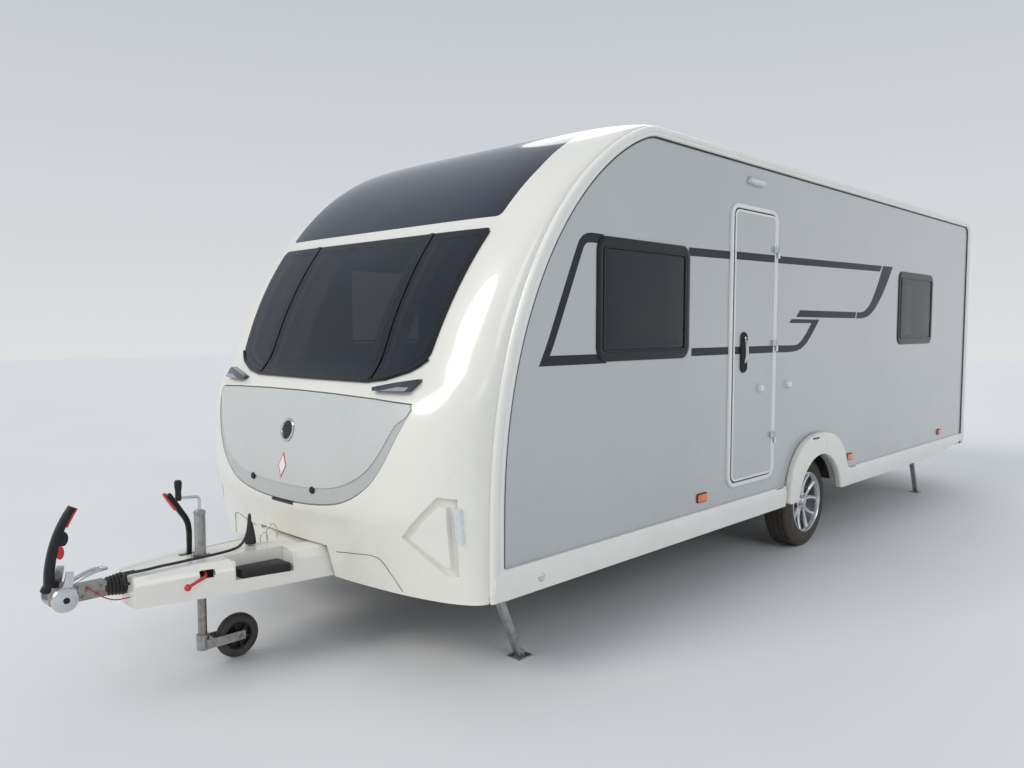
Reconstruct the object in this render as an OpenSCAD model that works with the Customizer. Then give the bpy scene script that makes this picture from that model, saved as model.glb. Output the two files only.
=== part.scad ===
// Single-axle travel caravan, parked on its jockey wheel and corner steadies.
// Millimetres. X runs forward to the coupling, Y to the entrance side and Z up from the ground.
// Lengths along X are written from the wheel axle, and every piece is then moved back by mid_x, so that
// the middle of the caravan's length lies over the origin.

/* [Body] */
// Width over the side walls
body_w = 2210; // [1850:10:2650]
// Distance from the axle back to the rear corners
rear_len = 3350; // [2790:10:4020]
// Distance from the axle forward to the front corners
front_len = 3170; // [2900:10:3800]
// Height of the roof's edge above the ground
roof_h = 2550; // [2450:10:3060]
// Thickness of the walls and roof
wall = 30; // [25:1:36]
// Height where the nose starts to lean back
nose_h = 700; // [640:10:760]
// How far the roof's front end lies behind the front corners
nose_run = 1190; // [990:10:1430]
// Height of the front panel's lower edge
nose_bottom = 370; // [350:5:400]
// Radius of the corner between roof and rear panel
tail_r = 120; // [80:5:160]
// Height of the floor's underside
floor_z = 430; // [420:5:450]
// Thickness of the floor
floor_t = 40; // [30:1:48]

/* [Doors and windows] */
// Width of the entrance door's frame
door_w = 577; // [480:1:690]
// Distance from the axle to the rear edge of that frame
door_x = 647; // [620:1:700]
// Height of the door frame's lower edge
door_z = 583; // [560:1:620]
// Height of the door frame
door_h = 1676; // [1400:1:1700]
// Thickness of the door leaf
leaf_t = 32; // [24:1:36]
// Gap all round a door or lid
door_gap = 6; // [5:0.5:8]
// Thickness of the window panes
pane_t = 8; // [6:1:10]
// How far a pane overlaps its opening
pane_lap = 32; // [25:1:40]
// Height of the side windows' lower edge
sill_z = 1380; // [1300:5:1420]
// Height of the side windows
window_h = 600; // [500:5:700]
// Length of the front side windows
front_window_l = 810; // [680:5:970]
// Length of the rear side windows
rear_window_l = 840; // [700:5:1000]
// Thickness of the gas locker's door
lid_t = 16; // [14:1:19]

/* [Running gear] */
// Outer radius of the tyres
tyre_r = 313; // [290:1:330]
// Width of the tyres
tyre_w = 195; // [165:1:215]
// Seat radius of the wheel rims
rim_r = 205; // [180:1:225]
// Distance from the middle of the caravan to a tyre's outer side
track_half = 1055; // [1040:1:1070]
// Radius of the wheel arch opening
arch_r = 345; // [340:1:400]
// How far the wheel arch moulding stands out from the wall
arch_out = 50; // [30:1:60]
// Depth of the chassis rails
rail_h = 140; // [115:1:160]
// Distance from the middle to a chassis rail
rail_y = 600; // [540:1:700]
// Length of a steady leg from its pivot to the ground
steady_drop = 330; // [320:1:345]
// How far the foot of a steady stands behind its pivot
steady_lean = 150; // [120:1:180]

/* [Drawbar] */
// Distance from the front corners to the front end of the coupling
drawbar_len = 1390; // [1360:10:1600]
// Distance from the front corners to the jockey wheel's tube
jockey_run = 735; // [700:5:780]
// Radius of the jockey wheel's inner tube
jockey_r = 19.5; // [17:0.5:22]
// Radius of the jockey wheel
jockey_wheel_r = 102; // [85:1:120]
// Radius of the tow ball that the coupling takes
ball_r = 25; // [25, 22.2]

/* [Hidden] */

half_w = body_w / 2;
fit = 0.3;              // gap between pieces that seat on each other
hinge_fit = 0.3;        // radial gap of a hinge pin in its eye
rear_bow = 50;          // how far the rear panel bows out at its middle
roof_bow = 30;          // crown of the roof
bumper_out = 38;        // how far the rear bumper stands out from the rear panel
hitch_x = front_len + drawbar_len;
mid_x = (hitch_x - rear_len - rear_bow - bumper_out) / 2;
inner_y = half_w - wall;
floor_top = floor_z + floor_t;

// ---------------------------------------------------------------- curved skins

// The nose's side profile is one cubic curve from the nose up to the roof.
nose = [
    [front_len, nose_h],
    [front_len, nose_h + 0.762 * (roof_h - nose_h)],
    [front_len - 0.8185 * nose_run, roof_h],
    [front_len - nose_run, roof_h]
];
function cubic(p, t) =
    pow(1 - t, 3) * p[0] + 3 * pow(1 - t, 2) * t * p[1] + 3 * (1 - t) * t * t * p[2] + pow(t, 3) * p[3];
function cubic_slope(p, t) =
    pow(1 - t, 2) * (p[1] - p[0]) + 2 * (1 - t) * t * (p[2] - p[1]) + t * t * (p[3] - p[2]);
function nose_point(t) = t < 0 ? [front_len, nose_h + 1000 * t] : cubic(nose, t);
function nose_normal(t) = t < 0 ? [1, 0]
    : let (d = cubic_slope(nose, t)) [d[1], -d[0]] / norm(d);

// How far the front bows out at its middle, and how square its plan is, along the profile.
function nose_bow(t) = lookup(t, [
    [-0.40, 220], [-0.20, 275], [0, 340], [0.10, 292], [0.125, 262], [0.15, 198], [0.17, 165],
    [0.38, 112], [0.70, 72], [1.00, roof_bow]
]);
function nose_power(t) = lookup(t, [[-0.4, 2], [0, 2.1], [0.17, 6.5], [0.38, 6], [1.0, 3.5]]);

// A row of a skin is [x, z, normal x, normal z, bow, power].
function nose_row(t) = let (p = nose_point(t), n = nose_normal(t))
    [p[0], p[1], n[0], n[1], nose_bow(t), nose_power(t)];
nose_low = (nose_bottom - nose_h) / 1000;
nose_steps = [0, 0.05, 0.1, 0.125, 0.15, 0.17, 0.24, 0.31, 0.38, 0.46, 0.55, 0.65, 0.77, 0.89, 1];
nose_rows = [for (t = concat([nose_low, -0.26, -0.18, -0.09], nose_steps)) nose_row(t)];
roof_front = front_len - nose_run;
roof_rear = -rear_len + tail_r;
roof_rows = [[roof_front, roof_h, 0, 1, roof_bow, 3.5], [roof_rear, roof_h, 0, 1, roof_bow, 3.5]];
tail_rows = concat(
    [for (a = [90:15:180]) [
        roof_rear + tail_r * cos(a), roof_h - tail_r + tail_r * sin(a), cos(a), sin(a),
        roof_bow + (rear_bow - roof_bow) * (a - 90) / 90, 3.5
    ]],
    [for (z = [1500, nose_bottom + 30]) [-rear_len, z, -1, 0, rear_bow, 3.5]]
);

across = 12;            // columns of a skin on each side of its middle
columns = [for (i = [-across:across]) sin(90 * i / across)];
function skin_point(row, u, out) = let (
    bulge = row[4] * sqrt(max(0, 1 - pow(abs(u), row[5]))) + out
) [row[0] + row[2] * bulge, u * (half_w + out), row[1] + row[3] * bulge];

// A curved shell between two offsets from the body's outer surface.
module skin(rows, outer, inner) {
    n = len(rows);
    m = len(columns);
    points = [for (o = [outer, inner], r = rows, u = columns) skin_point(r, u, o)];
    function at(s, i, j) = s * n * m + i * m + j;
    faces = concat(
        [for (i = [0:n - 2], j = [0:m - 2])
            [at(0, i, j), at(0, i + 1, j), at(0, i + 1, j + 1), at(0, i, j + 1)]],
        [for (i = [0:n - 2], j = [0:m - 2])
            [at(1, i, j), at(1, i, j + 1), at(1, i + 1, j + 1), at(1, i + 1, j)]],
        [for (i = [0:n - 2]) [at(0, i, 0), at(1, i, 0), at(1, i + 1, 0), at(0, i + 1, 0)]],
        [for (i = [0:n - 2]) [at(0, i, m - 1), at(0, i + 1, m - 1), at(1, i + 1, m - 1), at(1, i, m - 1)]],
        [for (j = [0:m - 2]) [at(0, 0, j), at(0, 0, j + 1), at(1, 0, j + 1), at(1, 0, j)]],
        [for (j = [0:m - 2]) [at(0, n - 1, j), at(1, n - 1, j), at(1, n - 1, j + 1), at(0, n - 1, j + 1)]]
    );
    polyhedron(points, [for (f = faces) each [[f[0], f[1], f[2]], [f[0], f[2], f[3]]]], convexity = 8);
}

// A moulding is one closed surface.
module moulding() resize([0, 0, 0]) children();

// Extrudes an outline drawn as [Y, Z] along X from one place to another.
module along_x(x0, x1) translate([x0, 0, 0])
    multmatrix([[0, 0, 1, 0], [1, 0, 0, 0], [0, 1, 0, 0], [0, 0, 0, 1]])
        linear_extrude(height = x1 - x0) children();

// Extrudes an outline drawn as [X, Z] along Y from one place to another.
module along_y(y0, y1) translate([0, y1, 0]) rotate([90, 0, 0]) linear_extrude(height = y1 - y0) children();

// The same piece on both sides of the caravan.
module both_sides() {
    children();
    mirror([0, 1, 0]) children();
}

module rod(a, b, r, sides = 24) {
    d = b - a;
    translate(a) rotate([0, acos(d[2] / norm(d)), atan2(d[1], d[0])])
        cylinder(h = norm(d), r = r, $fn = sides);
}

function arc(cx, cy, r, a0, a1, n = 6) = [for (i = [0:n]) let (a = a0 + (a1 - a0) * i / n)
    [cx + r * cos(a), cy + r * sin(a)]];
// A rectangle with round corners, given by two opposite corners.
function round_box(x0, z0, x1, z1, r) = concat(
    arc(x1 - r, z1 - r, r, 0, 90), arc(x0 + r, z1 - r, r, 90, 180),
    arc(x0 + r, z0 + r, r, 180, 270), arc(x1 - r, z0 + r, r, 270, 360)
);
module round_rect(b, r, grow = 0)
    polygon(round_box(b[0] - grow, b[1] - grow, b[2] + grow, b[3] + grow, r + grow));

// A flat bar that follows points in its plane.
module bar_outline(points, w) for (i = [0:len(points) - 2]) hull() {
    translate(points[i]) circle(d = w, $fn = 24);
    translate(points[i + 1]) circle(d = w, $fn = 24);
}

// ---------------------------------------------------------------- openings in the body

leaf_inset = 36;        // from the frame's outer edge to the door leaf
frame_box = [door_x, door_z, door_x + door_w, door_z + door_h];
frame_r = 80;
frame_lip = 13;         // how far the frame laps over the wall
front_window = [roof_front - 330, sill_z - 10, roof_front - 330 + front_window_l, sill_z - 10 + window_h];
rear_window_side = [-rear_len + 1015, sill_z + 16, -rear_len + 1015 + rear_window_l, sill_z + 16 + window_h];
kitchen_window = [-360, sill_z + 100, 440, sill_z + 16 + window_h];
window_r = 70;
tail_window = [-620, 1400, 620, 2000];
windows_left = [front_window, rear_window_side];
windows_right = [front_window, kitchen_window, rear_window_side];
cassette_box = [-1500, 520, -1180, 880];
battery_box = [950, 520, 1330, 830];
box_depth = 380;        // depth of the two boxes behind the service doors
box_wall = 12;
box_r = 30;

wheel_z = tyre_r;       // the wheels turn about this height, at X = 0
arch_h = 433;           // the moulding's height above the skirt's lower edge
arch_l = 470;           // half of its length
skirt_low = 380;
skirt_top = 500;
skirt_out = 25;
function super(l, h, p, a) = [
    l * sign(cos(a)) * pow(abs(cos(a)), 2 / p), skirt_low + h * pow(abs(sin(a)), 2 / p)
];
arch_curve = [for (a = [0:7.5:180]) super(arch_l, arch_h, 2.3, a)];

// The side wall's outline lies inside the nose, roof and tail skins by their thickness.
function inset(row, d) = [row[0] - row[2] * d, row[1] - row[3] * d];
function body_outline(d) = concat(
    [inset([front_len, floor_z - 30, 1, 0], d)],
    [for (t = nose_steps) inset(nose_row(t), d)],
    [for (a = [90:15:180]) inset([
        roof_rear + tail_r * cos(a), roof_h - tail_r + tail_r * sin(a), cos(a), sin(a)
    ], d)],
    [inset([-rear_len, floor_z - 30, -1, 0], d)]
);

// ---------------------------------------------------------------- walls, roof and floor

module wall_blank() along_y(inner_y, half_w) difference() {
    polygon(body_outline(wall + 1));
    translate([0, wheel_z]) circle(r = arch_r, $fn = 64);
    translate([-arch_r, 0]) square([2 * arch_r, wheel_z]);
}

module window_holes(list) along_y(inner_y - 10, half_w + 10)
    for (b = list) round_rect(b, window_r, -pane_lap);

module side_wall_left() color("silver") difference() {
    wall_blank();
    window_holes(windows_left);
    along_y(inner_y - 10, half_w + 10) round_rect(frame_box, frame_r, -frame_lip);
}

module side_wall_right() color("silver") mirror([0, 1, 0]) difference() {
    wall_blank();
    window_holes(windows_right);
    along_y(inner_y - 10, half_w + 10) for (b = [cassette_box, battery_box]) round_rect(b, box_r, door_gap);
}

roof_hole = 400;        // side of the square rooflights
roof_light_x = [roof_front - 900, -900, -2300];

module roof_panel() color("ivory") moulding() difference() {
    skin(roof_rows, 0, -wall);
    for (x = roof_light_x) translate([x, 0, roof_h])
        cube([roof_hole - 60, roof_hole - 60, 200], center = true);
}

// The front windows and the gas locker's lid, drawn as [Y, Z] seen from the front.
top_z = roof_h - 565;               // upper edge of the front windows
low_z = top_z - 690;                // lower edge of the front windows at the middle
pane_split = 480;
split_gap = 6;
centre_pane = [
    [-pane_split, low_z + 2], [0, low_z], [pane_split, low_z + 2], [pane_split, top_z],
    [-pane_split, top_z]
];
corner_pane = [
    [pane_split + split_gap, low_z + 5], [600, low_z + 18], [720, low_z + 55], [790, low_z + 95],
    [812, low_z + 125], [872, top_z - 20], [852, top_z], [pane_split + split_gap, top_z]
];
module front_glass_outline(grow) {
    offset(delta = grow) polygon(centre_pane);
    for (s = [0, 1]) mirror([s, 0]) offset(delta = grow) polygon(corner_pane);
}
top_panel = [
    [-880, top_z + 55], [880, top_z + 55], [895, roof_h - 260], [862, roof_h + 90], [-862, roof_h + 90],
    [-895, roof_h - 260]
];
lid_half = [
    [0, 712], [200, 718], [390, 738], [520, 775], [635, 845], [710, 930], [770, 1040], [838, 1185],
    [828, 1207], [600, 1218], [300, 1224], [0, 1226]
];
module lid_outline(grow) offset(delta = grow) {
    polygon(lid_half);
    mirror([1, 0]) polygon(lid_half);
}
swage = [[800, 642], [975, 832], [1045, 826], [1030, 492], [985, 488]];
lid_seat = door_gap + lid_t;        // depth of the recess that the lid closes
notch_y = 305;                      // half width of the opening for the drawbar

module front_panel() color("ivory") moulding() difference() {
    union() {
        difference() {
            skin(nose_rows, 0, -wall);
            intersection() {
                skin(nose_rows, 40, -lid_seat);
                along_x(2400, hitch_x) hull() {
                    lid_outline(door_gap);
                    translate([0, 36]) scale([0.97, 1]) lid_outline(0);
                }
            }
            intersection() {
                skin(nose_rows, 40, -12);
                along_x(2400, hitch_x) for (s = [0, 1]) mirror([s, 0]) polygon(swage);
            }
        }
        intersection() {
            skin(nose_rows, -lid_seat, -lid_seat - 16);
            along_x(2400, hitch_x) lid_outline(45);
        }
    }
    along_x(2400, hitch_x) lid_outline(-35);
    along_x(1500, hitch_x) front_glass_outline(-pane_lap);
    along_x(1000, hitch_x) polygon(top_panel);
    translate([2400, -notch_y, 0]) cube([2000, 2 * notch_y, cover_top + 5]);
}

module front_top_panel() color("midnightblue") moulding() intersection() {
    skin(nose_rows, 0, -wall);
    along_x(1000, hitch_x) offset(delta = -0.5) polygon(top_panel);
}

module front_windows() color("black") moulding() intersection() {
    skin(nose_rows, pane_t + fit, fit);
    along_x(1500, hitch_x) front_glass_outline(0);
}

module rear_panel() color("ivory") moulding() difference() {
    skin(tail_rows, 0, -wall);
    along_x(-rear_len - 400, -rear_len + 400) round_rect(tail_window, window_r, -pane_lap);
}

module rear_window() color("black") moulding() intersection() {
    skin(tail_rows, pane_t + fit, fit);
    along_x(-rear_len - 400, -rear_len + 400) round_rect(tail_window, window_r);
}

module side_windows() color("black") {
    for (b = windows_left) along_y(half_w + fit, half_w + fit + pane_t) round_rect(b, window_r);
    mirror([0, 1, 0]) for (b = windows_right)
        along_y(half_w + fit, half_w + fit + pane_t) round_rect(b, window_r);
}

// The floor follows the inside of the front panel, and is boxed up over the wheels.
floor_nose = [for (u = [-0.97:0.097:0.98]) let (p = skin_point(nose_row(-0.27), u, -wall - 45)) [p[0], p[1]]];
well_l = arch_r + 20;               // half length of a wheel box
well_y = track_half - tyre_w - 35;  // its inner side
well_top = wheel_z + tyre_r + 65;
well_t = 20;
module floor_panel() color("tan") difference() {
    union() {
        translate([0, 0, floor_z]) linear_extrude(height = floor_t) polygon(concat(
            [[-rear_len + wall + 6, -inner_y + fit]], [[front_len - 90, -inner_y + fit]], floor_nose,
            [[front_len - 90, inner_y - fit]], [[-rear_len + wall + 6, inner_y - fit]]
        ));
        both_sides() translate([-well_l - well_t, well_y - well_t, floor_z])
            cube([2 * (well_l + well_t), inner_y - fit - well_y + well_t, well_top + well_t - floor_z]);
    }
    both_sides() translate([-well_l, well_y, 0]) cube([2 * well_l, half_w, well_top]);
}

// ---------------------------------------------------------------- outside trim

rail_out = 23;          // how far the awning rail stands out from the wall
function rail_in(t) = lookup(t, [[0, 80], [0.3, 76], [0.6, 62], [0.9, 50], [1, 50]]);
tail_band = 50;
rail_outer = body_outline(0);
rail_inner = concat(
    [[front_len - 75, floor_z - 30]], [for (t = nose_steps) inset(nose_row(t), rail_in(t))],
    [for (a = [90:15:180]) [
        roof_rear + (tail_r - tail_band) * cos(a), roof_h - tail_r + (tail_r - tail_band) * sin(a)
    ]],
    [[-rear_len + tail_band, floor_z - 30]]
);
module awning_rails() color("ivory") both_sides() along_y(half_w + fit, half_w + rail_out)
    polygon(concat(
        rail_outer, [for (i = [len(rail_inner) - 1:-1:0]) rail_inner[i]]
    ));

module skirt_profile() polygon([
    [half_w + fit, skirt_low], [half_w + skirt_out - 10, skirt_low - 15],
    [half_w + skirt_out, skirt_top - 45], [half_w + skirt_out - 10, skirt_top], [half_w + fit, skirt_top]
]);
skirt_gap = 3;
module side_skirts() color("ivory") both_sides() {
    along_x(arch_l + skirt_gap, front_len - 80) skirt_profile();
    difference() {
        along_x(-rear_len + 55, -arch_l - skirt_gap) skirt_profile();
        along_y(half_w - 10, half_w + 100) polygon([
            [-rear_len - 50, 300], [-rear_len + 800, 300], [-rear_len + 800, skirt_low - 14],
            [-rear_len + 40, skirt_low + 57], [-rear_len - 50, skirt_low + 66]
        ]);
    }
}

module wheel_arches() color("ivory") both_sides() along_y(half_w + fit, half_w + arch_out)
    difference() {
        polygon(arch_curve);
        translate([0, wheel_z]) circle(r = arch_r, $fn = 64);
        translate([-arch_r, 0]) square([2 * arch_r, wheel_z]);
    }

// ---------------------------------------------------------------- entrance door

leaf_gap_box = leaf_inset - door_gap;
frame_out = 12;         // how far the frame stands out from the wall
leaf_out = 14;          // how far the leaf's face stands out from the wall
hinge_r = 9;
hinge_pin_r = 4;
hinge_h = 35;
door_axis = [door_x + 18, half_w + 24];
hinge_z = [door_z + 260, door_z + door_h / 2, door_z + door_h - 260];

module door_frame() color("white") {
    along_y(half_w + fit, half_w + frame_out) difference() {
        round_rect(frame_box, frame_r);
        round_rect(frame_box, frame_r, -leaf_gap_box);
    }
    along_y(inner_y, half_w + 1) difference() {
        round_rect(frame_box, frame_r, -frame_lip - fit);
        round_rect(frame_box, frame_r, -leaf_gap_box);
    }
    for (z = hinge_z) {
        translate([door_axis[0], door_axis[1], z - hinge_h]) cylinder(h = hinge_h, r = hinge_r, $fn = 32);
        translate([door_axis[0], door_axis[1], z - 1]) cylinder(h = hinge_h - 4, r = hinge_pin_r, $fn = 32);
        translate([door_axis[0] - hinge_r, half_w + 2, z - hinge_h])
            cube([hinge_r, door_axis[1] - half_w - 2, hinge_h]);
    }
}

module entrance_door() color("silver") difference() {
    union() {
        along_y(half_w + leaf_out - leaf_t, half_w + leaf_out) round_rect(frame_box, frame_r, -leaf_inset);
        for (z = hinge_z) {
            translate([door_axis[0], door_axis[1], z + fit])
                cylinder(h = hinge_h - fit, r = hinge_r, $fn = 32);
            translate([door_axis[0], door_axis[1] - 3, z + fit])
                cube([leaf_inset + 20, 6, hinge_h - fit]);
            translate([door_axis[0] + 22, half_w + 2, z + fit])
                cube([leaf_inset - 2, door_axis[1] - half_w - 2, hinge_h - fit]);
        }
    }
    for (z = hinge_z) translate([door_axis[0], door_axis[1], z - 5])
        cylinder(h = hinge_h, r = hinge_pin_r + hinge_fit, $fn = 32);
}

// The lock plate and the hold-back catch on the door.
handle_box = [door_x + door_w - 190, door_z + 683, door_x + door_w - 115, door_z + 926];
catch_z = door_z + 581;
module door_handle() color("black") {
    face = half_w + leaf_out + fit;
    along_y(face, face + 16) round_rect(handle_box, 14);
    translate([handle_box[0] + 22, face + 16, handle_box[1] + 40]) cube([30, 18, 165]);
    translate([door_x + 217, face, catch_z - 22]) cube([26, 20, 44]);
}

// ---------------------------------------------------------------- gas locker

lid_axis_row = nose_row(0.13);
lid_axis = let (p = skin_point(lid_axis_row, 0, 9.5 - lid_seat)) [p[0], p[2]];
lid_knuckles = [-460, -60, 340];    // left ends of the hinge knuckles on the panel
knuckle_l = 58;
bulkhead_x = front_len - 450;
shelf_z = low_z - 68;

module lid_knuckle(y, l) translate([lid_axis[0], y, lid_axis[1]]) rotate([-90, 0, 0])
    cylinder(h = l, r = 7, $fn = 32);

module locker_door() color("gainsboro") {
    moulding() intersection() {
        skin(nose_rows, 0, -lid_t);
        along_x(2400, hitch_x) lid_outline(0);
    }
    for (y = lid_knuckles) difference() {
        union() {
            lid_knuckle(y + knuckle_l + fit, knuckle_l);
            along_y(y + knuckle_l + fit, y + 2 * knuckle_l + fit)
                bar_outline([lid_axis, lid_axis + [24, -36]], 8);
        }
        translate([0, -5, 0]) lid_pin(y + knuckle_l, knuckle_l + 20, 3 + hinge_fit);
    }
}

module lid_pin(y, l, r) translate([lid_axis[0], y, lid_axis[1]]) rotate([-90, 0, 0])
    cylinder(h = l, r = r, $fn = 32);

module gas_locker() color("lightgrey") {
    translate([bulkhead_x, -inner_y + fit, floor_top]) cube([15, 2 * (inner_y - fit), shelf_z - floor_top]);
    translate([0, 0, shelf_z - 15]) linear_extrude(height = 15) polygon(concat(
        [[bulkhead_x + 15 - fit, -inner_y + 30], [front_len - 160, -inner_y + 30]],
        [for (u = [-0.92:0.092:0.93]) let (p = skin_point(nose_row(0.15), u, -wall - 14)) [p[0], p[1]]],
        [[front_len - 160, inner_y - 30], [bulkhead_x + 15 - fit, inner_y - 30]]
    ));
    for (y = lid_knuckles) {
        lid_knuckle(y, knuckle_l);
        lid_pin(y + knuckle_l - 1, knuckle_l - 6, 3);
    }
}

// ---------------------------------------------------------------- rear and lights

bumper = [-1075, nose_bottom + 40, 1075, 640];
tail_light = [830, 700, 1010, 900];
module rear_bumper() color("ivory") moulding() intersection() {
    skin(tail_rows, bumper_out, fit);
    along_x(-rear_len - 400, -rear_len + 400) round_rect(bumper, 40);
}

marker_x = [front_len - 1677, -582, -rear_len + 708];
module exterior_lights() {
    color("red") moulding() intersection() {
        skin(tail_rows, 26, fit);
        along_x(-rear_len - 400, -rear_len + 400) {
            for (s = [0, 1]) mirror([s, 0]) round_rect(tail_light, 40);
            round_rect([-150, roof_h - 230, 150, roof_h - 200], 12);
        }
    }
    color("orange") both_sides() for (x = marker_x)
        along_y(half_w + fit, half_w + 14) round_rect([x - 50, 552, x + 50, 596], 10);
    color("white") moulding() intersection() {
        skin(nose_rows, 9, fit);
        along_x(2400, hitch_x) for (s = [0, 1]) mirror([s, 0]) round_rect([1046, 637, 1066, 819], 8);
    }
    color("white") along_y(half_w + fit, half_w + 28)
        round_rect([door_x + 195, roof_h - 166, door_x + 387, roof_h - 126], 12);
}

function above_skin(row, u, d) = skin_point(row, u, 0) + d * [row[2], 0, row[3]];
module bar_handle(row_a, u_a, row_b, u_b, lift, seat) {
    a = above_skin(row_a, u_a, lift);
    b = above_skin(row_b, u_b, lift);
    rod(a, b, 11);
    rod(above_skin(row_a, u_a, seat), a, 11);
    rod(above_skin(row_b, u_b, seat), b, 11);
    for (p = [a, b]) translate(p) sphere(r = 14, $fn = 32);
}
tail_row_low = [-rear_len, 1010, -1, 0, rear_bow, 3.5];
module grab_handles() color("dimgrey") moulding() both_sides() {
    bar_handle(nose_row(0.14), 0.80, nose_row(0.165), 0.90, 34, 4.7);
    bar_handle(tail_row_low, 0.74, tail_row_low, 0.88, 33, 1.6);
}

module roof_lights() color("whitesmoke") for (x = roof_light_x)
    translate([x, 0, roof_h + roof_bow + fit]) difference() {
        linear_extrude(height = 42) polygon(round_box(-roof_hole / 2, -roof_hole / 2, roof_hole / 2,
            roof_hole / 2, 45));
        translate([0, 0, -1]) linear_extrude(height = 37) polygon(round_box(
            -roof_hole / 2 + 24, -roof_hole / 2 + 24, roof_hole / 2 - 24, roof_hole / 2 - 24, 24));
    }

// Gathered curtains beside the windows, each a plain slab from rail to hem.
curtain_t = 46;
curtain_w = 190;
module curtain(x, y, turn) translate([x, y, sill_z - 40]) rotate([0, 0, turn])
    translate([-curtain_w / 2, -curtain_t / 2, 0]) cube([curtain_w, curtain_t, window_h + 60]);
module window_curtains() color("tan") both_sides() {
    for (b = windows_left) for (x = [b[0] + 40, b[2] - 40])
        curtain(x, inner_y - curtain_t / 2 - fit, 0);
}

// ---------------------------------------------------------------- chassis and axle

rail_t = 50;
beam_front = front_len - 1270;      // where the drawbar arms leave the rails
head_x = front_len + 980;           // where the arms reach the coupling's housing
head_y = 52;
arm_turn = atan2(rail_y - rail_t / 2 - head_y, head_x - beam_front);
arm_h = 60;
module chassis_rails() color("darkgrey") both_sides()
    translate([-rear_len + 120, rail_y - rail_t, floor_z - rail_h])
        difference() {
            cube([beam_front + rear_len - 120, rail_t, rail_h]);
            translate([-1, -1, 6]) cube([beam_front + rear_len, rail_t - 5, rail_h - 12]);
        }

module drawbar_arms() color("darkgrey") both_sides() {
    l = norm([head_x - beam_front, rail_y - rail_t / 2 - head_y]);
    difference() {
        translate([beam_front + fit, rail_y - rail_t, floor_z - arm_h]) rotate([0, 0, -arm_turn])
            cube([l, rail_t, arm_h]);
        translate([beam_front - 200, 0, 0]) cube([200 + fit, rail_y + 100, 600]);
        translate([0, -head_y + fit, 0]) cube([hitch_x, 2 * head_y, 600]);
    }
}

bracket_y = 950;
steady_x = [front_len - 200, -rear_len + 940];
member_h = 60;
member_x = [steady_x[0] + 48, 1200, -1400, steady_x[1] + 48];
module cross_members() color("darkgrey") for (i = [0:3]) {
    // A member outside the rails carries each pair of steadies.
    if (i == 0) difference() {
        translate([member_x[i], -bracket_y - 60, floor_z - member_h])
            cube([50, 2 * (bracket_y + 60), member_h]);
        both_sides() translate([member_x[i] - 1, rail_y - rail_t - (member_x[i] - beam_front) * tan(arm_turn)
            - 30, 0]) cube([52, rail_t + 65, 600]);
    }
    else if (i == 3) {
        both_sides() translate([member_x[i], rail_y + fit, floor_z - member_h])
            cube([50, bracket_y + 60 - rail_y, member_h]);
        translate([member_x[i], -rail_y + rail_t + fit, floor_z - member_h])
            cube([50, 2 * (rail_y - rail_t - fit), member_h]);
    }
    else translate([member_x[i], -rail_y + rail_t + fit, floor_z - member_h])
        cube([50, 2 * (rail_y - rail_t - fit), member_h]);
}

axle_x = 165;
axle_r = 45;
axle_z = floor_z - rail_h - axle_r * cos(30);
arm_y = well_y - 70;
module axle_beam() color("darkgrey") translate([axle_x, arm_y, axle_z]) rotate([90, 0, 0])
    cylinder(h = 2 * arm_y, r = axle_r, $fn = 6);

stub_r = 28;
hub_y = track_half - 62;            // outer face of the wheel's centre
module suspension_arms() color("dimgrey") both_sides() {
    along_y(arm_y + fit, arm_y + 38) hull() {
        translate([axle_x, axle_z]) circle(r = 52, $fn = 40);
        translate([0, wheel_z]) circle(r = 44, $fn = 40);
    }
    translate([0, arm_y + 30, wheel_z]) rotate([-90, 0, 0])
        cylinder(h = hub_y + 12 - arm_y - 30, r = stub_r, $fn = 48);
    translate([0, arm_y + 45, wheel_z]) rotate([-90, 0, 0]) cylinder(h = 12, r = 110, $fn = 64);
}

// A tyre's section, drawn as [radius, width].
module tyre(y) color("black") translate([0, y, wheel_z]) rotate([90, 0, 0])
    rotate_extrude($fn = 96) polygon(concat(
        [[rim_r + fit, tyre_w / 2 - 20]], arc(rim_r + 38, tyre_w / 2 - 34, 34, 115, 60, 4),
        arc(tyre_r - 32, tyre_w / 2 - 44, 32, 62, 0, 5), arc(tyre_r - 32, -tyre_w / 2 + 44, 32, 0, -62, 5),
        arc(rim_r + 38, -tyre_w / 2 + 34, 34, -60, -115, 4), [[rim_r + fit, -tyre_w / 2 + 20]]
    ));

spoke_w = 30;
module wheel_rim(out) color("silver") translate([0, out * (track_half - tyre_w / 2), wheel_z])
    rotate([-90 * out, 0, 0]) difference() {
        w = tyre_w / 2;
        union() {
            rotate_extrude($fn = 96) polygon([
                [rim_r - 12, -w + 14], [rim_r, -w + 14], [rim_r, w - 16],
                [rim_r + 6, w - 8], [rim_r + 6, w - 2],
                [rim_r - 8, w - 2], [rim_r - 12, w - 12]
            ]);
            translate([0, 0, w - 62]) cylinder(h = 36, r = 72, $fn = 64);
            for (i = [0:4], s = [-1, 1]) rotate([0, 0, 72 * i + 13 * s])
                translate([50, -spoke_w / 2, w - 50]) cube([rim_r - 57, spoke_w, 20]);
        }
        translate([0, 0, -w]) cylinder(h = 2 * w, r = stub_r + hinge_fit, $fn = 48);
    }
module wheel_rim_left() wheel_rim(1);
module wheel_rim_right() wheel_rim(-1);
module tyre_left() tyre(track_half - tyre_w / 2);
module tyre_right() tyre(-track_half + tyre_w / 2);

// ---------------------------------------------------------------- corner steadies

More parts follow.
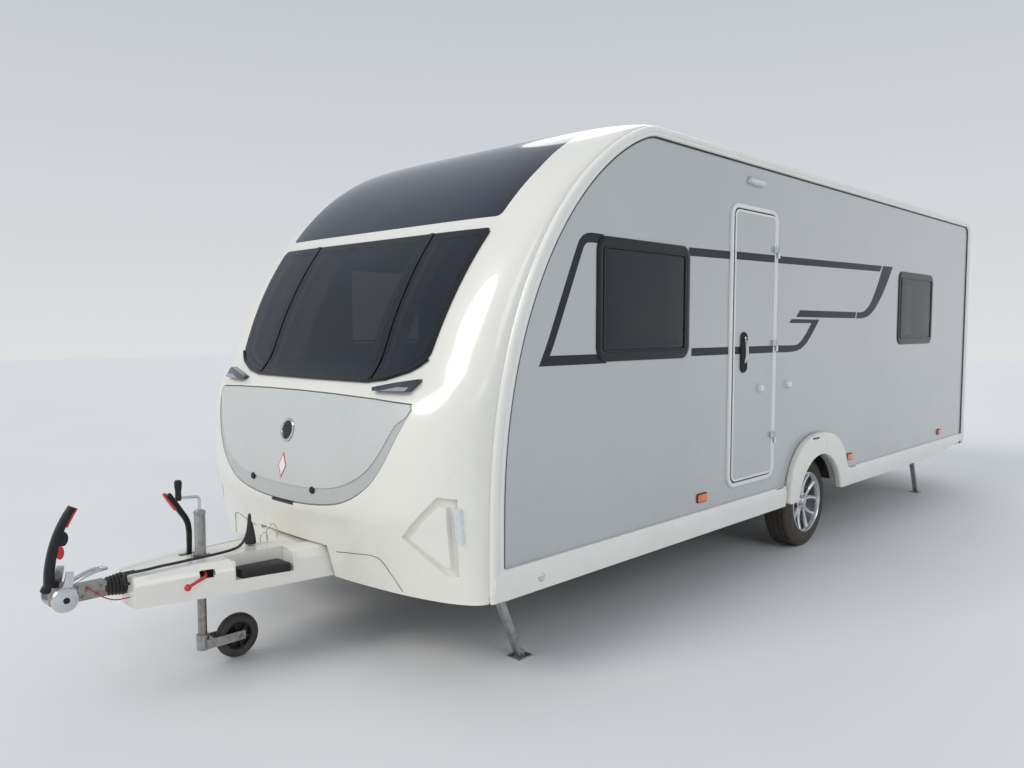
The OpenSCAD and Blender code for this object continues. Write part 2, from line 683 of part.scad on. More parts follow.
steady_pin_r = 8;
steady_w = 36;
module steady_bracket(x) translate([x, bracket_y, 0]) {
    translate([-45, -steady_w / 2 - 12, floor_z - 10 - fit]) cube([92, steady_w + 24, 10]);
    for (s = [-1, 1]) translate([-28, s * (steady_w / 2 + 7) - 4, steady_drop - 20])
        cube([56, 8, floor_z - 5 - steady_drop + 20]);
    translate([0, -steady_w / 2 - 11, steady_drop]) rotate([-90, 0, 0])
        cylinder(h = steady_w + 22, r = steady_pin_r, $fn = 32);
}
module steady_brackets() color("darkgrey") both_sides() for (x = steady_x) steady_bracket(x);

steady_turn = atan2(steady_lean, steady_drop);
steady_l = norm([steady_lean, steady_drop]);
module steady(x, side) color("darkgrey") translate([x, side * bracket_y, steady_drop]) {
    rotate([0, steady_turn, 0]) difference() {
        union() {
            translate([-15, -steady_w / 2, -steady_l + 14]) cube([30, steady_w, steady_l - 14]);
            translate([0, -steady_w / 2, 0]) rotate([-90, 0, 0]) cylinder(h = steady_w, r = 18, $fn = 40);
        }
        translate([-18, -steady_w / 2 + 5, -steady_l - 10]) cube([27, steady_w - 10, steady_l - 30]);
        translate([0, -steady_w, 0]) rotate([-90, 0, 0])
            cylinder(h = 2 * steady_w, r = steady_pin_r + hinge_fit, $fn = 40);
    }
    translate([-steady_lean - 45, -40, -steady_drop]) cube([90, 80, 6]);
    translate([-steady_lean - 14, -steady_w / 2, -steady_drop + 5]) cube([28, steady_w, 24]);
}
module steady_front_left() steady(steady_x[0], 1);
module steady_front_right() steady(steady_x[0], -1);
module steady_rear_left() steady(steady_x[1], 1);
module steady_rear_right() steady(steady_x[1], -1);

// ---------------------------------------------------------------- service boxes on the far side

module service_box(b) difference() {
    along_y(half_w - box_depth, inner_y - fit) round_rect(b, box_r, door_gap + box_wall);
    along_y(half_w - box_depth + box_wall, half_w) round_rect(b, box_r, door_gap);
}
module service_boxes() color("lightgrey") mirror([0, 1, 0]) for (b = [cassette_box, battery_box]) {
    service_box(b);
    // Hinge knuckles below each door.
    for (x = [b[0] + 60, b[2] - 100]) {
        translate([x, half_w + 6, b[1] - 12]) rotate([0, 90, 0]) cylinder(h = 20, r = 5, $fn = 24);
        translate([x + 19, half_w + 6, b[1] - 12]) rotate([0, 90, 0]) cylinder(h = 17, r = 2.2, $fn = 24);
        translate([x, half_w + fit, b[1] - 17]) cube([20, 6, 10]);
    }
}
module service_door(b) color("silver") mirror([0, 1, 0]) difference() {
    union() {
        along_y(half_w - 18, half_w + 6) round_rect(b, box_r);
        for (x = [b[0] + 60, b[2] - 100]) {
            translate([x + 20 + fit, half_w + 6, b[1] - 12]) rotate([0, 90, 0])
                cylinder(h = 20, r = 5, $fn = 24);
            translate([x + 20 + fit, half_w + 2.5, b[1] - 12]) cube([20, 3.5, 30]);
        }
    }
    for (x = [b[0] + 60, b[2] - 100]) translate([x + 10, half_w + 6, b[1] - 12]) rotate([0, 90, 0])
        cylinder(h = 28, r = 2.2 + hinge_fit, $fn = 24);
}
module cassette_door() service_door(cassette_box);
module battery_door() service_door(battery_box);

// ---------------------------------------------------------------- drawbar

cover_top = 520;
cover_low = 372;
cover_front = front_len + 1070;
cover_rear = front_len + 200;
cover_t = 6;
// Sections of the cover from front to rear: [x, half width at foot, half width of the top, top height].
cover_sections = [
    [cover_front, 112, 86, 508], [front_len + 830, 172, 140, 518], [front_len + 640, 222, 190, cover_top],
    [cover_rear, 292, 262, cover_top]
];
function cover_ring(s, t) = [
    [s[0], -s[1] + t, cover_low - (t > 0 ? 10 : 0)], [s[0], -s[1] + t, s[3] - 46],
    [s[0], -s[2] + t, s[3] - t],
    [s[0], s[2] - t, s[3] - t], [s[0], s[1] - t, s[3] - 46], [s[0], s[1] - t, cover_low - (t > 0 ? 10 : 0)]
];
module loft(rings) {
    n = len(rings);
    m = len(rings[0]);
    polyhedron([for (r = rings) each r], concat(
        [[for (j = [0:m - 1]) j]], [[for (j = [m - 1:-1:0]) (n - 1) * m + j]],
        [for (i = [0:n - 2], j = [0:m - 1]) each [
            [i * m + j, (i + 1) * m + j, (i + 1) * m + (j + 1) % m],
            [i * m + j, (i + 1) * m + (j + 1) % m, i * m + (j + 1) % m]
        ]]
    ));
}
jockey_x = front_len + jockey_run;
jockey_out_r = jockey_r + 4.5;
pad_x = [front_len + 430, front_len + 655];
module drawbar_cover() color("white") moulding() difference() {
    loft([for (s = cover_sections) cover_ring(s, 0)]);
    loft([for (i = [0:3]) let (s = cover_sections[i]) cover_ring(
        [s[0] + (i == 0 ? -cover_t : 0) - (i == 3 ? 20 : 0), s[1], s[2], s[3]], cover_t
    )]);
    translate([jockey_x, 0, 400]) cylinder(h = 300, r = jockey_out_r + 18, $fn = 40);
    translate([jockey_x + 22, 110, 444]) cube([78, 120, 48]);
    translate([cover_front - 50, 0, shaft_z]) rotate([0, 90, 0]) cylinder(h = 100, r = 44 + fit, $fn = 48);
    translate([jockey_x - 10, -86, 400]) cube([80, 40, 300]);
}

shaft_z = 462;
shaft_r = 25;
housing_front = cover_front - cover_t - 20;
module overrun_housing() color("darkgrey") difference() {
    translate([jockey_x + 34 + fit, -head_y, shaft_z - 55])
        cube([housing_front - jockey_x - 34 - fit, 2 * head_y, 95]);
    translate([jockey_x + 100, 0, shaft_z]) rotate([0, 90, 0]) cylinder(h = 400, r = shaft_r + fit, $fn = 48);
}

ball_x = hitch_x - 73;
ball_z = 452;
socket_gap = 0.3;
module coupling_head() color("silver") difference() {
    union() {
        translate([jockey_x + 110, 0, shaft_z]) rotate([0, 90, 0])
            cylinder(h = hitch_x - 200 - jockey_x - 110, r = shaft_r, $fn = 48);
        translate([hitch_x - 242, -29, shaft_z - 30]) cube([112, 58, 62]);
        translate([hitch_x - 140, -24, shaft_z - 26]) cube([60, 48, 56]);
        translate([ball_x, 0, ball_z - 20]) cylinder(h = 76, r = 42, $fn = 64);
        translate([ball_x, -60, ball_z + 10]) rotate([-90, 0, 0]) cylinder(h = 120, r = 36, $fn = 64);
    }
    translate([ball_x, 0, ball_z]) sphere(r = ball_r + socket_gap, $fn = 64);
    translate([ball_x, 0, ball_z - 60]) cylinder(h = 60, r = ball_r + socket_gap, $fn = 64);
}

module stabiliser_handle() color("black") {
    along_y(-19, 19) bar_outline([
        [hitch_x - 40, 526], [hitch_x - 50, 600], [hitch_x - 72, 690],
        [hitch_x - 100, 760], [hitch_x - 127, 815]
    ], 30);
    translate([ball_x - 10, -17, ball_z + 56 + fit]) cube([hitch_x - ball_x + 10, 34, 30]);
}

module shaft_gaiter() color("black") translate([cover_front - 4, 0, shaft_z]) rotate([0, 90, 0])
    rotate_extrude($fn = 48) polygon(concat(
        [[shaft_r + 2, 0], [44, 0]],
        [for (i = [0:4]) each [[44, 4 + 14 * i], [48 - 2 * i, 9 + 14 * i], [38 - i, 15 + 14 * i]]],
        [[32, 78], [shaft_r + 2, 78]]
    ));

lever_y = -66;
module handbrake_lever() color("black") along_y(lever_y - 9, lever_y + 9) bar_outline([
    [jockey_x + 28, 440], [jockey_x + 20, 560], [jockey_x + 26, 655],
    [jockey_x + 62, 720], [jockey_x + 112, 795]
], 26);

module jockey_clamp() color("darkgrey") difference() {
    translate([jockey_x - 34, -head_y, floor_z - 50]) cube([68, 2 * head_y, 92]);
    translate([jockey_x, 0, 0]) cylinder(h = 900, r = jockey_out_r + fit, $fn = 48);
}

module clamp_lever() color("red") moulding() {
    bend = [jockey_x + 66, 182, 468];
    end = [jockey_x + 172, 248, 458];
    rod([jockey_x + 18, head_y + fit + 2.7, 466], bend, 8);
    rod(bend, end, 7);
    translate(bend) sphere(r = 12, $fn = 32);
    translate(end) sphere(r = 15, $fn = 32);
}

tube_top = 713;
tube_low = 366;
module jockey_outer_tube() color("darkgrey") {
    difference() {
        translate([jockey_x, 0, tube_low]) cylinder(h = tube_top - tube_low, r = jockey_out_r, $fn = 48);
        translate([jockey_x, 0, tube_low - 1])
            cylinder(h = tube_top - tube_low - 8, r = jockey_r + fit, $fn = 48);
    }
    // Crank and its knob.
    translate([jockey_x, 0, tube_top - 1]) cylinder(h = 68, r = 7, $fn = 24);
    along_y(-6, 6) bar_outline([[jockey_x, tube_top + 62], [jockey_x + 96, tube_top + 68]], 12);
    translate([jockey_x + 94, 0, tube_top + 62]) cylinder(h = 92, r = 16, $fn = 32);
}

fork_z = 108;
wheel_back = 165;       // how far the jockey wheel trails behind its tube
inner_top = 550;
module jockey_inner_tube() color("silver") translate([jockey_x, 0, 86])
    cylinder(h = inner_top - 86, r = jockey_r, $fn = 48);

fork_in = 37;
jockey_pin_r = 6;
module jockey_fork() color("silver") {
    difference() {
        union() {
            translate([jockey_x, 0, 80]) cylinder(h = 70, r = jockey_r + 8, $fn = 48);
            translate([jockey_x - 62, -fork_in - 5, 88]) cube([60, 2 * fork_in + 10, 42]);
        }
        translate([jockey_x, 0, 86 - fit]) cylinder(h = 100, r = jockey_r + fit, $fn = 48);
        translate([jockey_x - 80, -fork_in, 60]) cube([80 - jockey_r - 16, 2 * fork_in, 100]);
    }
    both_sides() translate([jockey_x - wheel_back - 22, fork_in, 88])
        cube([wheel_back + 22 - 55, 5, 42]);
    translate([jockey_x - wheel_back, -fork_in - 4, jockey_wheel_r]) rotate([-90, 0, 0])
        cylinder(h = 2 * fork_in + 8, r = jockey_pin_r, $fn = 32);
}

module jockey_wheel() color("black") translate([jockey_x - wheel_back, 0, jockey_wheel_r])
    rotate([90, 0, 0]) rotate_extrude($fn = 64) polygon(concat(
        [[jockey_pin_r + hinge_fit, -fork_in + 3], [20, -fork_in + 3], [22, -24], [60, -22]],
        arc(jockey_wheel_r - 22, 0, 22, -75, 75, 10),
        [[60, 22], [22, 24], [20, fork_in - 3], [jockey_pin_r + hinge_fit, fork_in - 3]]
    ));

// ---------------------------------------------------------------- cables

plug_x = front_len + 492;
module tow_plug() color("black") {
    translate([plug_x, 0, cover_top + fit]) cylinder(h = 40, r = 25, $fn = 40);
    translate([plug_x, 0, cover_top + 40]) cylinder(h = 60, r1 = 23, r2 = 8, $fn = 40);
}

// Points of the tow cable, measured from the front corners.
tow_route = [
    [1071.5, 66, 473], [1088, 66, 476], [1097, 67, 490], [1094, 70, 507], [1080, 76, 519], [1055, 84, 522],
    [1010, 94, 525], [950, 103, 530], [890, 110, 532], [830, 116, 535], [770, 119, 536], [710, 117, 537],
    [650, 108, 538], [600, 94, 543], [566, 80, 562], [545, 68, 590], [532, 57, 620], [523, 46, 645],
    [513, 32, 660], [503, 17, 662], [495, 5, 650], [492, 0, 634], [492, 0, 620.5]
];
breakaway_route = [
    [1225, 29.6, 486], [1225, 38, 485], [1216, 50, 475], [1192, 59, 453], [1160, 64, 430], [1130, 64, 418],
    [1100, 62, 414], [1070, 60, 414]
];

// A round tube swept along a smooth curve through the route's points.
function spline(p, i, t) = let (
    a = p[max(i - 1, 0)], b = p[i], c = p[i + 1], d = p[min(i + 2, len(p) - 1)]
) 0.5 * (2 * b + (c - a) * t + (2 * a - 5 * b + 4 * c - d) * t * t + (3 * b - a - 3 * c + d) * pow(t, 3));
function smooth(p, n) = concat(
    [for (i = [0:len(p) - 2], k = [0:n - 1]) spline(p, i, k / n)], [p[len(p) - 1]]
);
function unit(v) = v / norm(v);
module tube(route, r, sides = 8) {
    n = len(route);
    rings = [for (i = [0:n - 1]) let (
        d = unit(route[min(i + 1, n - 1)] - route[max(i - 1, 0)]),
        s = unit(cross(d, abs(d[2]) > 0.95 ? [0, 1, 0] : [0, 0, 1])),
        v = cross(d, s)
    ) [for (k = [0:sides - 1]) route[i] + r * (cos(360 * k / sides) * s + sin(360 * k / sides) * v)]];
    polyhedron([for (g = rings) each g], concat(
        [[for (j = [sides - 1:-1:0]) j]], [[for (j = [0:sides - 1]) (n - 1) * sides + j]],
        [for (i = [0:n - 2], j = [0:sides - 1]) each [
            [i * sides + j, (i + 1) * sides + (j + 1) % sides, (i + 1) * sides + j],
            [i * sides + j, i * sides + (j + 1) % sides, (i + 1) * sides + (j + 1) % sides]
        ]]
    ));
}
function from_front(route) = [for (p = route) [p[0] + front_len, p[1], p[2]]];
module tow_cable() color("black") tube(smooth(from_front(tow_route), 3), 6);
module breakaway_cable() color("red") tube(smooth(from_front(breakaway_route), 3), 2.5);

// ---------------------------------------------------------------- what is shown

module placed() translate([-mid_x, 0, 0]) children();

placed() floor_panel();
placed() side_wall_left();
placed() side_wall_right();
placed() roof_panel();
placed() front_panel();
placed() front_top_panel();
placed() rear_panel();
placed() front_windows();
placed() side_windows();
placed() rear_window();
placed() awning_rails();
placed() side_skirts();
placed() wheel_arches();
placed() door_frame();
placed() entrance_door();
placed() door_handle();
placed() locker_door();
placed() gas_locker();
placed() rear_bumper();
placed() exterior_lights();
placed() grab_handles();
placed() roof_lights();
placed() window_curtains();
placed() chassis_rails();
placed() drawbar_arms();
placed() cross_members();
placed() axle_beam();
placed() suspension_arms();
placed() overrun_housing();
placed() drawbar_cover();
placed() coupling_head();
placed() stabiliser_handle();
placed() shaft_gaiter();
placed() handbrake_lever();
placed() jockey_clamp();
placed() clamp_lever();
placed() jockey_outer_tube();
placed() jockey_inner_tube();
placed() jockey_fork();
placed() jockey_wheel();
placed() tyre_left();
placed() tyre_right();
placed() wheel_rim_left();
placed() wheel_rim_right();
placed() steady_brackets();
placed() steady_front_left();
placed() steady_front_right();
placed() steady_rear_left();
placed() steady_rear_right();
placed() service_boxes();
placed() cassette_door();
placed() battery_door();
placed() tow_cable();
placed() tow_plug();
placed() breakaway_cable();
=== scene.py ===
"""Looks of the travel caravan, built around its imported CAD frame.

Metres in the row frame: +X forward to the coupling, +Y to the entrance side, +Z up from the ground. Lengths
along X are written from the wheel axle, as in the CAD source, and x_at() moves them to the row frame.
"""
import math

import bmesh
import bpy
import numpy as np
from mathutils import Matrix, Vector


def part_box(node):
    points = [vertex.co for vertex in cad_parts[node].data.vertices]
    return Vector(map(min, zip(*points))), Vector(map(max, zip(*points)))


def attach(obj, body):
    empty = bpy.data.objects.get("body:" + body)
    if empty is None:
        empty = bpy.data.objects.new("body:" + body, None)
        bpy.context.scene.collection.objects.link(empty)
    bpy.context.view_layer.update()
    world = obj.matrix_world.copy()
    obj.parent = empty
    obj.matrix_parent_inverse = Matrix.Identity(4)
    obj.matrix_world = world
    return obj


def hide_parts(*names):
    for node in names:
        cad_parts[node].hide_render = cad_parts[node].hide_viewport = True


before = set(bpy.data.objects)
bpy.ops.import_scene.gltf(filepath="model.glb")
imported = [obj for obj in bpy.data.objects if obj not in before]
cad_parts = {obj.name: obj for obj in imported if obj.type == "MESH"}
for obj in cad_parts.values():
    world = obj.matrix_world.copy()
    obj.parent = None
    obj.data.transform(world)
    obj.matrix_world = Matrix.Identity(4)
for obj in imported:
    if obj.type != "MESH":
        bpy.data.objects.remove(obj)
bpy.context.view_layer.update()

# ---------------------------------------------------------------- places taken from the frame

tyre_low, tyre_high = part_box("tyre_left")
AXLE_X = (tyre_low.x + tyre_high.x) / 2
WHEEL_R = (tyre_high.z - tyre_low.z) / 2
WHEEL_Y = (tyre_low.y + tyre_high.y) / 2
TYRE_W = tyre_high.y - tyre_low.y
HALF_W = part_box("side_wall_left")[1].y
REAR_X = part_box("side_skirts")[0].x - AXLE_X - 0.055
FRONT_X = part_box("side_skirts")[1].x - AXLE_X + 0.08
BUMPER_TOP = 0.64

# The body's side profile and thicknesses.
ROOF_H = 2.55
NOSE_H = 0.70
NOSE_RUN = 1.19
NOSE_LOW = 0.37
TAIL_R = 0.12
WALL = 0.03
REAR_BOW = 0.05
ROOF_BOW = 0.03
FIT = 0.0003
LID_T = 0.016
LID_GAP = 0.006


def x_at(x):
    """Row X of a length measured from the wheel axle."""
    return AXLE_X + x


SIDES = ((1, "l"), (-1, "r"))                # the entrance side first
PANE_OUT = 0.0083                            # how far the front and rear panes stand out from the skin
NOSE_REACH = (x_at(2.4), x_at(4.2))          # what a cut along X takes in below the front windows
GLASS_REACH = (x_at(1.0), x_at(4.2))         # and up to the roof


# ---------------------------------------------------------------- camera

CAMERA_PLACE = Vector((x_at(5.532), 3.534, 1.532))
CAMERA_YAW, CAMERA_PITCH = math.radians(224.17), math.radians(-3.905)
CAMERA_LENS = 28.83


def make_camera():
    data = bpy.data.cameras.new("camera")
    camera = bpy.data.objects.new("camera", data)
    bpy.context.scene.collection.objects.link(camera)
    aim = Vector((
        math.cos(CAMERA_YAW) * math.cos(CAMERA_PITCH),
        math.sin(CAMERA_YAW) * math.cos(CAMERA_PITCH),
        math.sin(CAMERA_PITCH),
    ))
    camera.location = CAMERA_PLACE
    camera.rotation_mode = "QUATERNION"
    camera.rotation_quaternion = aim.to_track_quat("-Z", "Y")
    data.lens = CAMERA_LENS
    data.sensor_width = 36
    data.clip_start, data.clip_end = 0.05, 200
    bpy.context.scene.camera = camera


make_camera()

# ---------------------------------------------------------------- materials


def material(name, colour, rough=0.4, metal=0.0, coat=0.0, vary=0.05, scale=5.0, bump=0.0, bump_scale=300.0,
             dirt=None, dirt_z=(0.3, 0.6), dirt_share=0.5, rough_vary=0.08, alpha=1.0, sheen=0.0,
             specular=0.5):
    """A finish whose colour and roughness drift over the surface, with relief and dirt growing downwards."""
    made = bpy.data.materials.new(name)
    made.use_nodes = True
    nodes, links = made.node_tree.nodes, made.node_tree.links
    shader = nodes["Principled BSDF"]
    place = nodes.new("ShaderNodeTexCoord")
    noise = nodes.new("ShaderNodeTexNoise")
    noise.inputs["Scale"].default_value = scale
    noise.inputs["Detail"].default_value = 6
    links.new(place.outputs["Object"], noise.inputs["Vector"])
    ramp = nodes.new("ShaderNodeValToRGB")
    ramp.color_ramp.elements[0].position, ramp.color_ramp.elements[1].position = 0.3, 0.7
    ramp.color_ramp.elements[0].color = [c * (1 - vary) for c in colour] + [1]
    ramp.color_ramp.elements[1].color = [min(1, c * (1 + vary)) for c in colour] + [1]
    links.new(noise.outputs["Fac"], ramp.inputs["Fac"])
    colour_out = ramp.outputs["Color"]
    if dirt:
        split = nodes.new("ShaderNodeSeparateXYZ")
        links.new(place.outputs["Object"], split.inputs["Vector"])
        height = nodes.new("ShaderNodeMapRange")
        height.inputs["From Min"].default_value, height.inputs["From Max"].default_value = dirt_z
        height.inputs["To Min"].default_value, height.inputs["To Max"].default_value = dirt_share, 0.0
        links.new(split.outputs["Z"], height.inputs["Value"])
        grime = nodes.new("ShaderNodeTexNoise")
        grime.inputs["Scale"].default_value = 22
        grime.inputs["Detail"].default_value = 8
        links.new(place.outputs["Object"], grime.inputs["Vector"])
        amount = nodes.new("ShaderNodeMath")
        amount.operation = "MULTIPLY"
        links.new(height.outputs["Result"], amount.inputs[0])
        links.new(grime.outputs["Fac"], amount.inputs[1])
        mix = nodes.new("ShaderNodeMix")
        mix.data_type = "RGBA"
        mix.inputs["B"].default_value = list(dirt) + [1]
        links.new(amount.outputs["Value"], mix.inputs["Factor"])
        links.new(colour_out, mix.inputs["A"])
        colour_out = mix.outputs["Result"]
    links.new(colour_out, shader.inputs["Base Color"])
    spread = nodes.new("ShaderNodeMapRange")
    spread.inputs["To Min"].default_value = max(0.02, rough - rough_vary)
    spread.inputs["To Max"].default_value = min(1, rough + rough_vary)
    links.new(noise.outputs["Fac"], spread.inputs["Value"])
    links.new(spread.outputs["Result"], shader.inputs["Roughness"])
    shader.inputs["Metallic"].default_value = metal
    shader.inputs["Coat Weight"].default_value = coat
    shader.inputs["Coat Roughness"].default_value = 0.05
    shader.inputs["Sheen Weight"].default_value = sheen
    shader.inputs["Specular IOR Level"].default_value = specular
    shader.inputs["Alpha"].default_value = alpha
    if bump:
        grain = nodes.new("ShaderNodeTexNoise")
        grain.inputs["Scale"].default_value = bump_scale
        grain.inputs["Detail"].default_value = 3
        links.new(place.outputs["Object"], grain.inputs["Vector"])
        relief = nodes.new("ShaderNodeBump")
        relief.inputs["Strength"].default_value = bump
        relief.inputs["Distance"].default_value = 0.002
        links.new(grain.outputs["Fac"], relief.inputs["Height"])
        links.new(relief.outputs["Normal"], shader.inputs["Normal"])
    return made


ROAD_DIRT = (0.20, 0.16, 0.11)
CREAM = material("cream_gloss", (0.80, 0.785, 0.72), 0.28, coat=0.6, vary=0.02, scale=2.5, bump=0.006,
                 bump_scale=9, dirt=ROAD_DIRT, dirt_z=(0.2, 0.75), dirt_share=0.12, rough_vary=0.025)
TRIM = material("cream_trim", (0.82, 0.81, 0.76), 0.30, coat=0.4, vary=0.03, scale=4, bump=0.02,
                bump_scale=14, dirt=ROAD_DIRT, dirt_z=(0.2, 0.7), dirt_share=0.14, rough_vary=0.03)
SILVER = material("silver_panel", (0.50, 0.515, 0.52), 0.24, metal=0.25, coat=0.8, vary=0.035, scale=1.2,
                  bump=0.035, bump_scale=2.2, dirt=(0.30, 0.29, 0.26), dirt_z=(0.4, 1.2), dirt_share=0.22)
LID = material("lid_gloss", (0.56, 0.575, 0.56), 0.30, coat=0.5, vary=0.03, scale=3, bump=0.02,
               bump_scale=8, dirt=ROAD_DIRT, dirt_z=(0.6, 1.0), dirt_share=0.12)
# The lid's recessed lower band: the lid's grey darkened as painted shade.
LID_LIP_SHADED = material("lid_lip_painted_shade", (0.46, 0.475, 0.46), 0.32, coat=0.5, vary=0.03, scale=3, bump=0.02,
                   bump_scale=8)
NAVY = material("navy_gloss", (0.004, 0.008, 0.022), 0.12, coat=0.35, specular=0.35, vary=0.25, scale=2,
                bump=0.02, bump_scale=4)
FRIT = material("black_frit", (0.004, 0.005, 0.008), 0.20, coat=0.15, specular=0.3, vary=0.2, scale=6,
                bump=0.01, bump_scale=12)
TINT = material("tinted_acrylic", (0.006, 0.010, 0.020), 0.07, coat=0.45, specular=0.35, vary=0.2, scale=3,
                bump=0.02, bump_scale=5, alpha=0.62, rough_vary=0.03)
DECAL = material("slate_decal", (0.010, 0.014, 0.024), 0.42, coat=0.1, specular=0.3, vary=0.08, scale=7,
                 bump=0.02, bump_scale=30)
SEAL = material("dark_seal", (0.012, 0.016, 0.026), 0.45, vary=0.2, scale=30, bump=0.15, bump_scale=500)
WHITE = material("white_frame", (0.80, 0.80, 0.77), 0.32, coat=0.3, vary=0.03, scale=9, bump=0.03,
                 bump_scale=200, dirt=ROAD_DIRT, dirt_z=(0.4, 0.8), dirt_share=0.12)
BLACK = material("moulded_black", (0.010, 0.010, 0.011), 0.42, specular=0.35, vary=0.25, scale=30,
                 bump=0.25, bump_scale=900)
RED = material("moulded_red", (0.55, 0.018, 0.020), 0.35, coat=0.3, vary=0.12, scale=40, bump=0.12,
               bump_scale=600)
RUBBER = material("black_rubber", (0.020, 0.020, 0.020), 0.62, vary=0.3, scale=25, bump=0.3, bump_scale=500,
                  dirt=ROAD_DIRT, dirt_z=(0.0, 0.6), dirt_share=0.35)
TYRE = material("tyre_rubber", (0.026, 0.024, 0.022), 0.75, vary=0.3, scale=30, bump=0.35, bump_scale=320,
                dirt=(0.16, 0.125, 0.085), dirt_z=(-0.4, 1.1), dirt_share=0.75)
ALLOY = material("bright_alloy", (0.60, 0.61, 0.62), 0.22, metal=1.0, coat=0.5, vary=0.06, scale=20,
                 bump=0.03, bump_scale=200)
# A darkened copy of the alloy: painted shade for the inside of the wheel.
ALLOY_PAINTED_SHADE = material("alloy_painted_shade", (0.16, 0.16, 0.165), 0.40, metal=0.9, vary=0.15, scale=20, bump=0.05,
                      bump_scale=200)
CHROME = material("chrome", (0.62, 0.62, 0.63), 0.10, metal=1.0, vary=0.05, scale=18, bump=0.02,
                  bump_scale=120, rough_vary=0.05)
DARK_CHROME = material("dark_chrome", (0.10, 0.11, 0.13), 0.12, metal=1.0, coat=0.5, vary=0.2, scale=18,
                       bump=0.02, bump_scale=60)
ZINC = material("galvanised", (0.42, 0.43, 0.43), 0.42, metal=0.9, vary=0.22, scale=38, bump=0.25,
                bump_scale=160, dirt=(0.20, 0.16, 0.12), dirt_z=(0.0, 0.8), dirt_share=0.45,
                rough_vary=0.14)
STEEL = material("worn_steel", (0.36, 0.34, 0.32), 0.36, metal=1.0, vary=0.28, scale=45, bump=0.2,
                 bump_scale=260, dirt=(0.14, 0.10, 0.07), dirt_z=(0.1, 0.9), dirt_share=0.5,
                 rough_vary=0.14)
IRON = material("painted_iron", (0.030, 0.030, 0.032), 0.55, metal=0.3, vary=0.3, scale=30, bump=0.4,
                bump_scale=220, dirt=ROAD_DIRT, dirt_z=(0.0, 0.7), dirt_share=0.35)
UNDERBODY = material("underbody_board", (0.035, 0.034, 0.033), 0.8, vary=0.3, scale=12, bump=0.4,
                     bump_scale=120, dirt=ROAD_DIRT, dirt_z=(0.2, 0.8), dirt_share=0.4)
LINER = material("interior_board", (0.34, 0.31, 0.26), 0.6, vary=0.12, scale=9, bump=0.15, bump_scale=150)
AMBER = material("amber_lens", (0.85, 0.16, 0.012), 0.18, coat=0.9, vary=0.15, scale=60, bump=0.3,
                 bump_scale=420)
RED_LENS = material("red_lens", (0.50, 0.010, 0.012), 0.16, coat=0.9, vary=0.15, scale=50, bump=0.3,
                    bump_scale=380)
CLEAR_LENS = material("clear_lens", (0.66, 0.68, 0.68), 0.14, coat=0.9, vary=0.08, scale=60, bump=0.3,
                      bump_scale=380)
CABLE = material("cable_jacket", (0.014, 0.014, 0.015), 0.46, vary=0.2, scale=60, bump=0.2, bump_scale=700)
CABLE_RED = material("cable_sleeve_red", (0.50, 0.02, 0.03), 0.38, vary=0.15, scale=80, bump=0.2,
                     bump_scale=900)
SIGN = material("sign_white", (0.80, 0.79, 0.77), 0.35, coat=0.3, vary=0.04, scale=40, bump=0.05,
                bump_scale=300)
SIGN_RED = material("sign_red", (0.55, 0.03, 0.04), 0.35, coat=0.3, vary=0.08, scale=40, bump=0.05,
                    bump_scale=300)


def cloth_material():
    """Pleated curtain cloth: a plain weave of two fine wave patterns."""
    made = material("curtain_cloth", (0.44, 0.37, 0.29), 0.85, vary=0.12, scale=14, sheen=0.4)
    nodes, links = made.node_tree.nodes, made.node_tree.links
    place = next(n for n in nodes if n.type == "TEX_COORD")
    heights = []
    for direction in ("X", "Z"):
        wave = nodes.new("ShaderNodeTexWave")
        wave.bands_direction = direction
        wave.inputs["Scale"].default_value = 380
        links.new(place.outputs["Object"], wave.inputs["Vector"])
        heights.append(wave)
    weave = nodes.new("ShaderNodeMath")
    weave.operation = "MAXIMUM"
    for i, wave in enumerate(heights):
        links.new(wave.outputs["Fac"], weave.inputs[i])
    relief = nodes.new("ShaderNodeBump")
    relief.inputs["Strength"].default_value = 0.35
    relief.inputs["Distance"].default_value = 0.001
    links.new(weave.outputs["Value"], relief.inputs["Height"])
    links.new(relief.outputs["Normal"], nodes["Principled BSDF"].inputs["Normal"])
    return made


CLOTH = cloth_material()

# ---------------------------------------------------------------- mesh helpers


def piece(name, verts, faces, finish, body="caravan", slot=None, replaces=(), sharp=32):
    """A mesh object with outward normals, smooth except over edges sharper than the given angle.
    Without a body it's left unmounted, for the cuts to come."""
    mesh = bpy.data.meshes.new(name)
    mesh.from_pydata([tuple(v) for v in verts], [], [tuple(f) for f in faces])
    made = bpy.data.objects.new(name, mesh)
    bpy.context.scene.collection.objects.link(made)
    tidy(made, sharp)
    dress(made, finish)
    return mount(made, body, replaces) if body else made


def tidy(obj, sharp=32, merge=1e-6):
    work = bmesh.new()
    work.from_mesh(obj.data)
    bmesh.ops.remove_doubles(work, verts=work.verts, dist=merge)
    bmesh.ops.dissolve_degenerate(work, edges=work.edges, dist=1e-7)
    bmesh.ops.recalc_face_normals(work, faces=work.faces)
    work.to_mesh(obj.data)
    work.free()
    obj.data.polygons.foreach_set("use_smooth", [True] * len(obj.data.polygons))
    obj.data.set_sharp_from_angle(angle=math.radians(sharp))
    obj.data.update()


def dress(obj, finish):
    obj.data.materials.clear()
    obj.data.materials.append(finish)


def mount(made, body="caravan", replaces=()):
    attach(made, body)
    if replaces:
        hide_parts(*replaces)
    return made


def bake_modifiers(obj):
    """Replaces the mesh by what its modifiers make of it."""
    graph = bpy.context.evaluated_depsgraph_get()
    mesh = bpy.data.meshes.new_from_object(obj.evaluated_get(graph))
    obj.modifiers.clear()
    obj.data = mesh


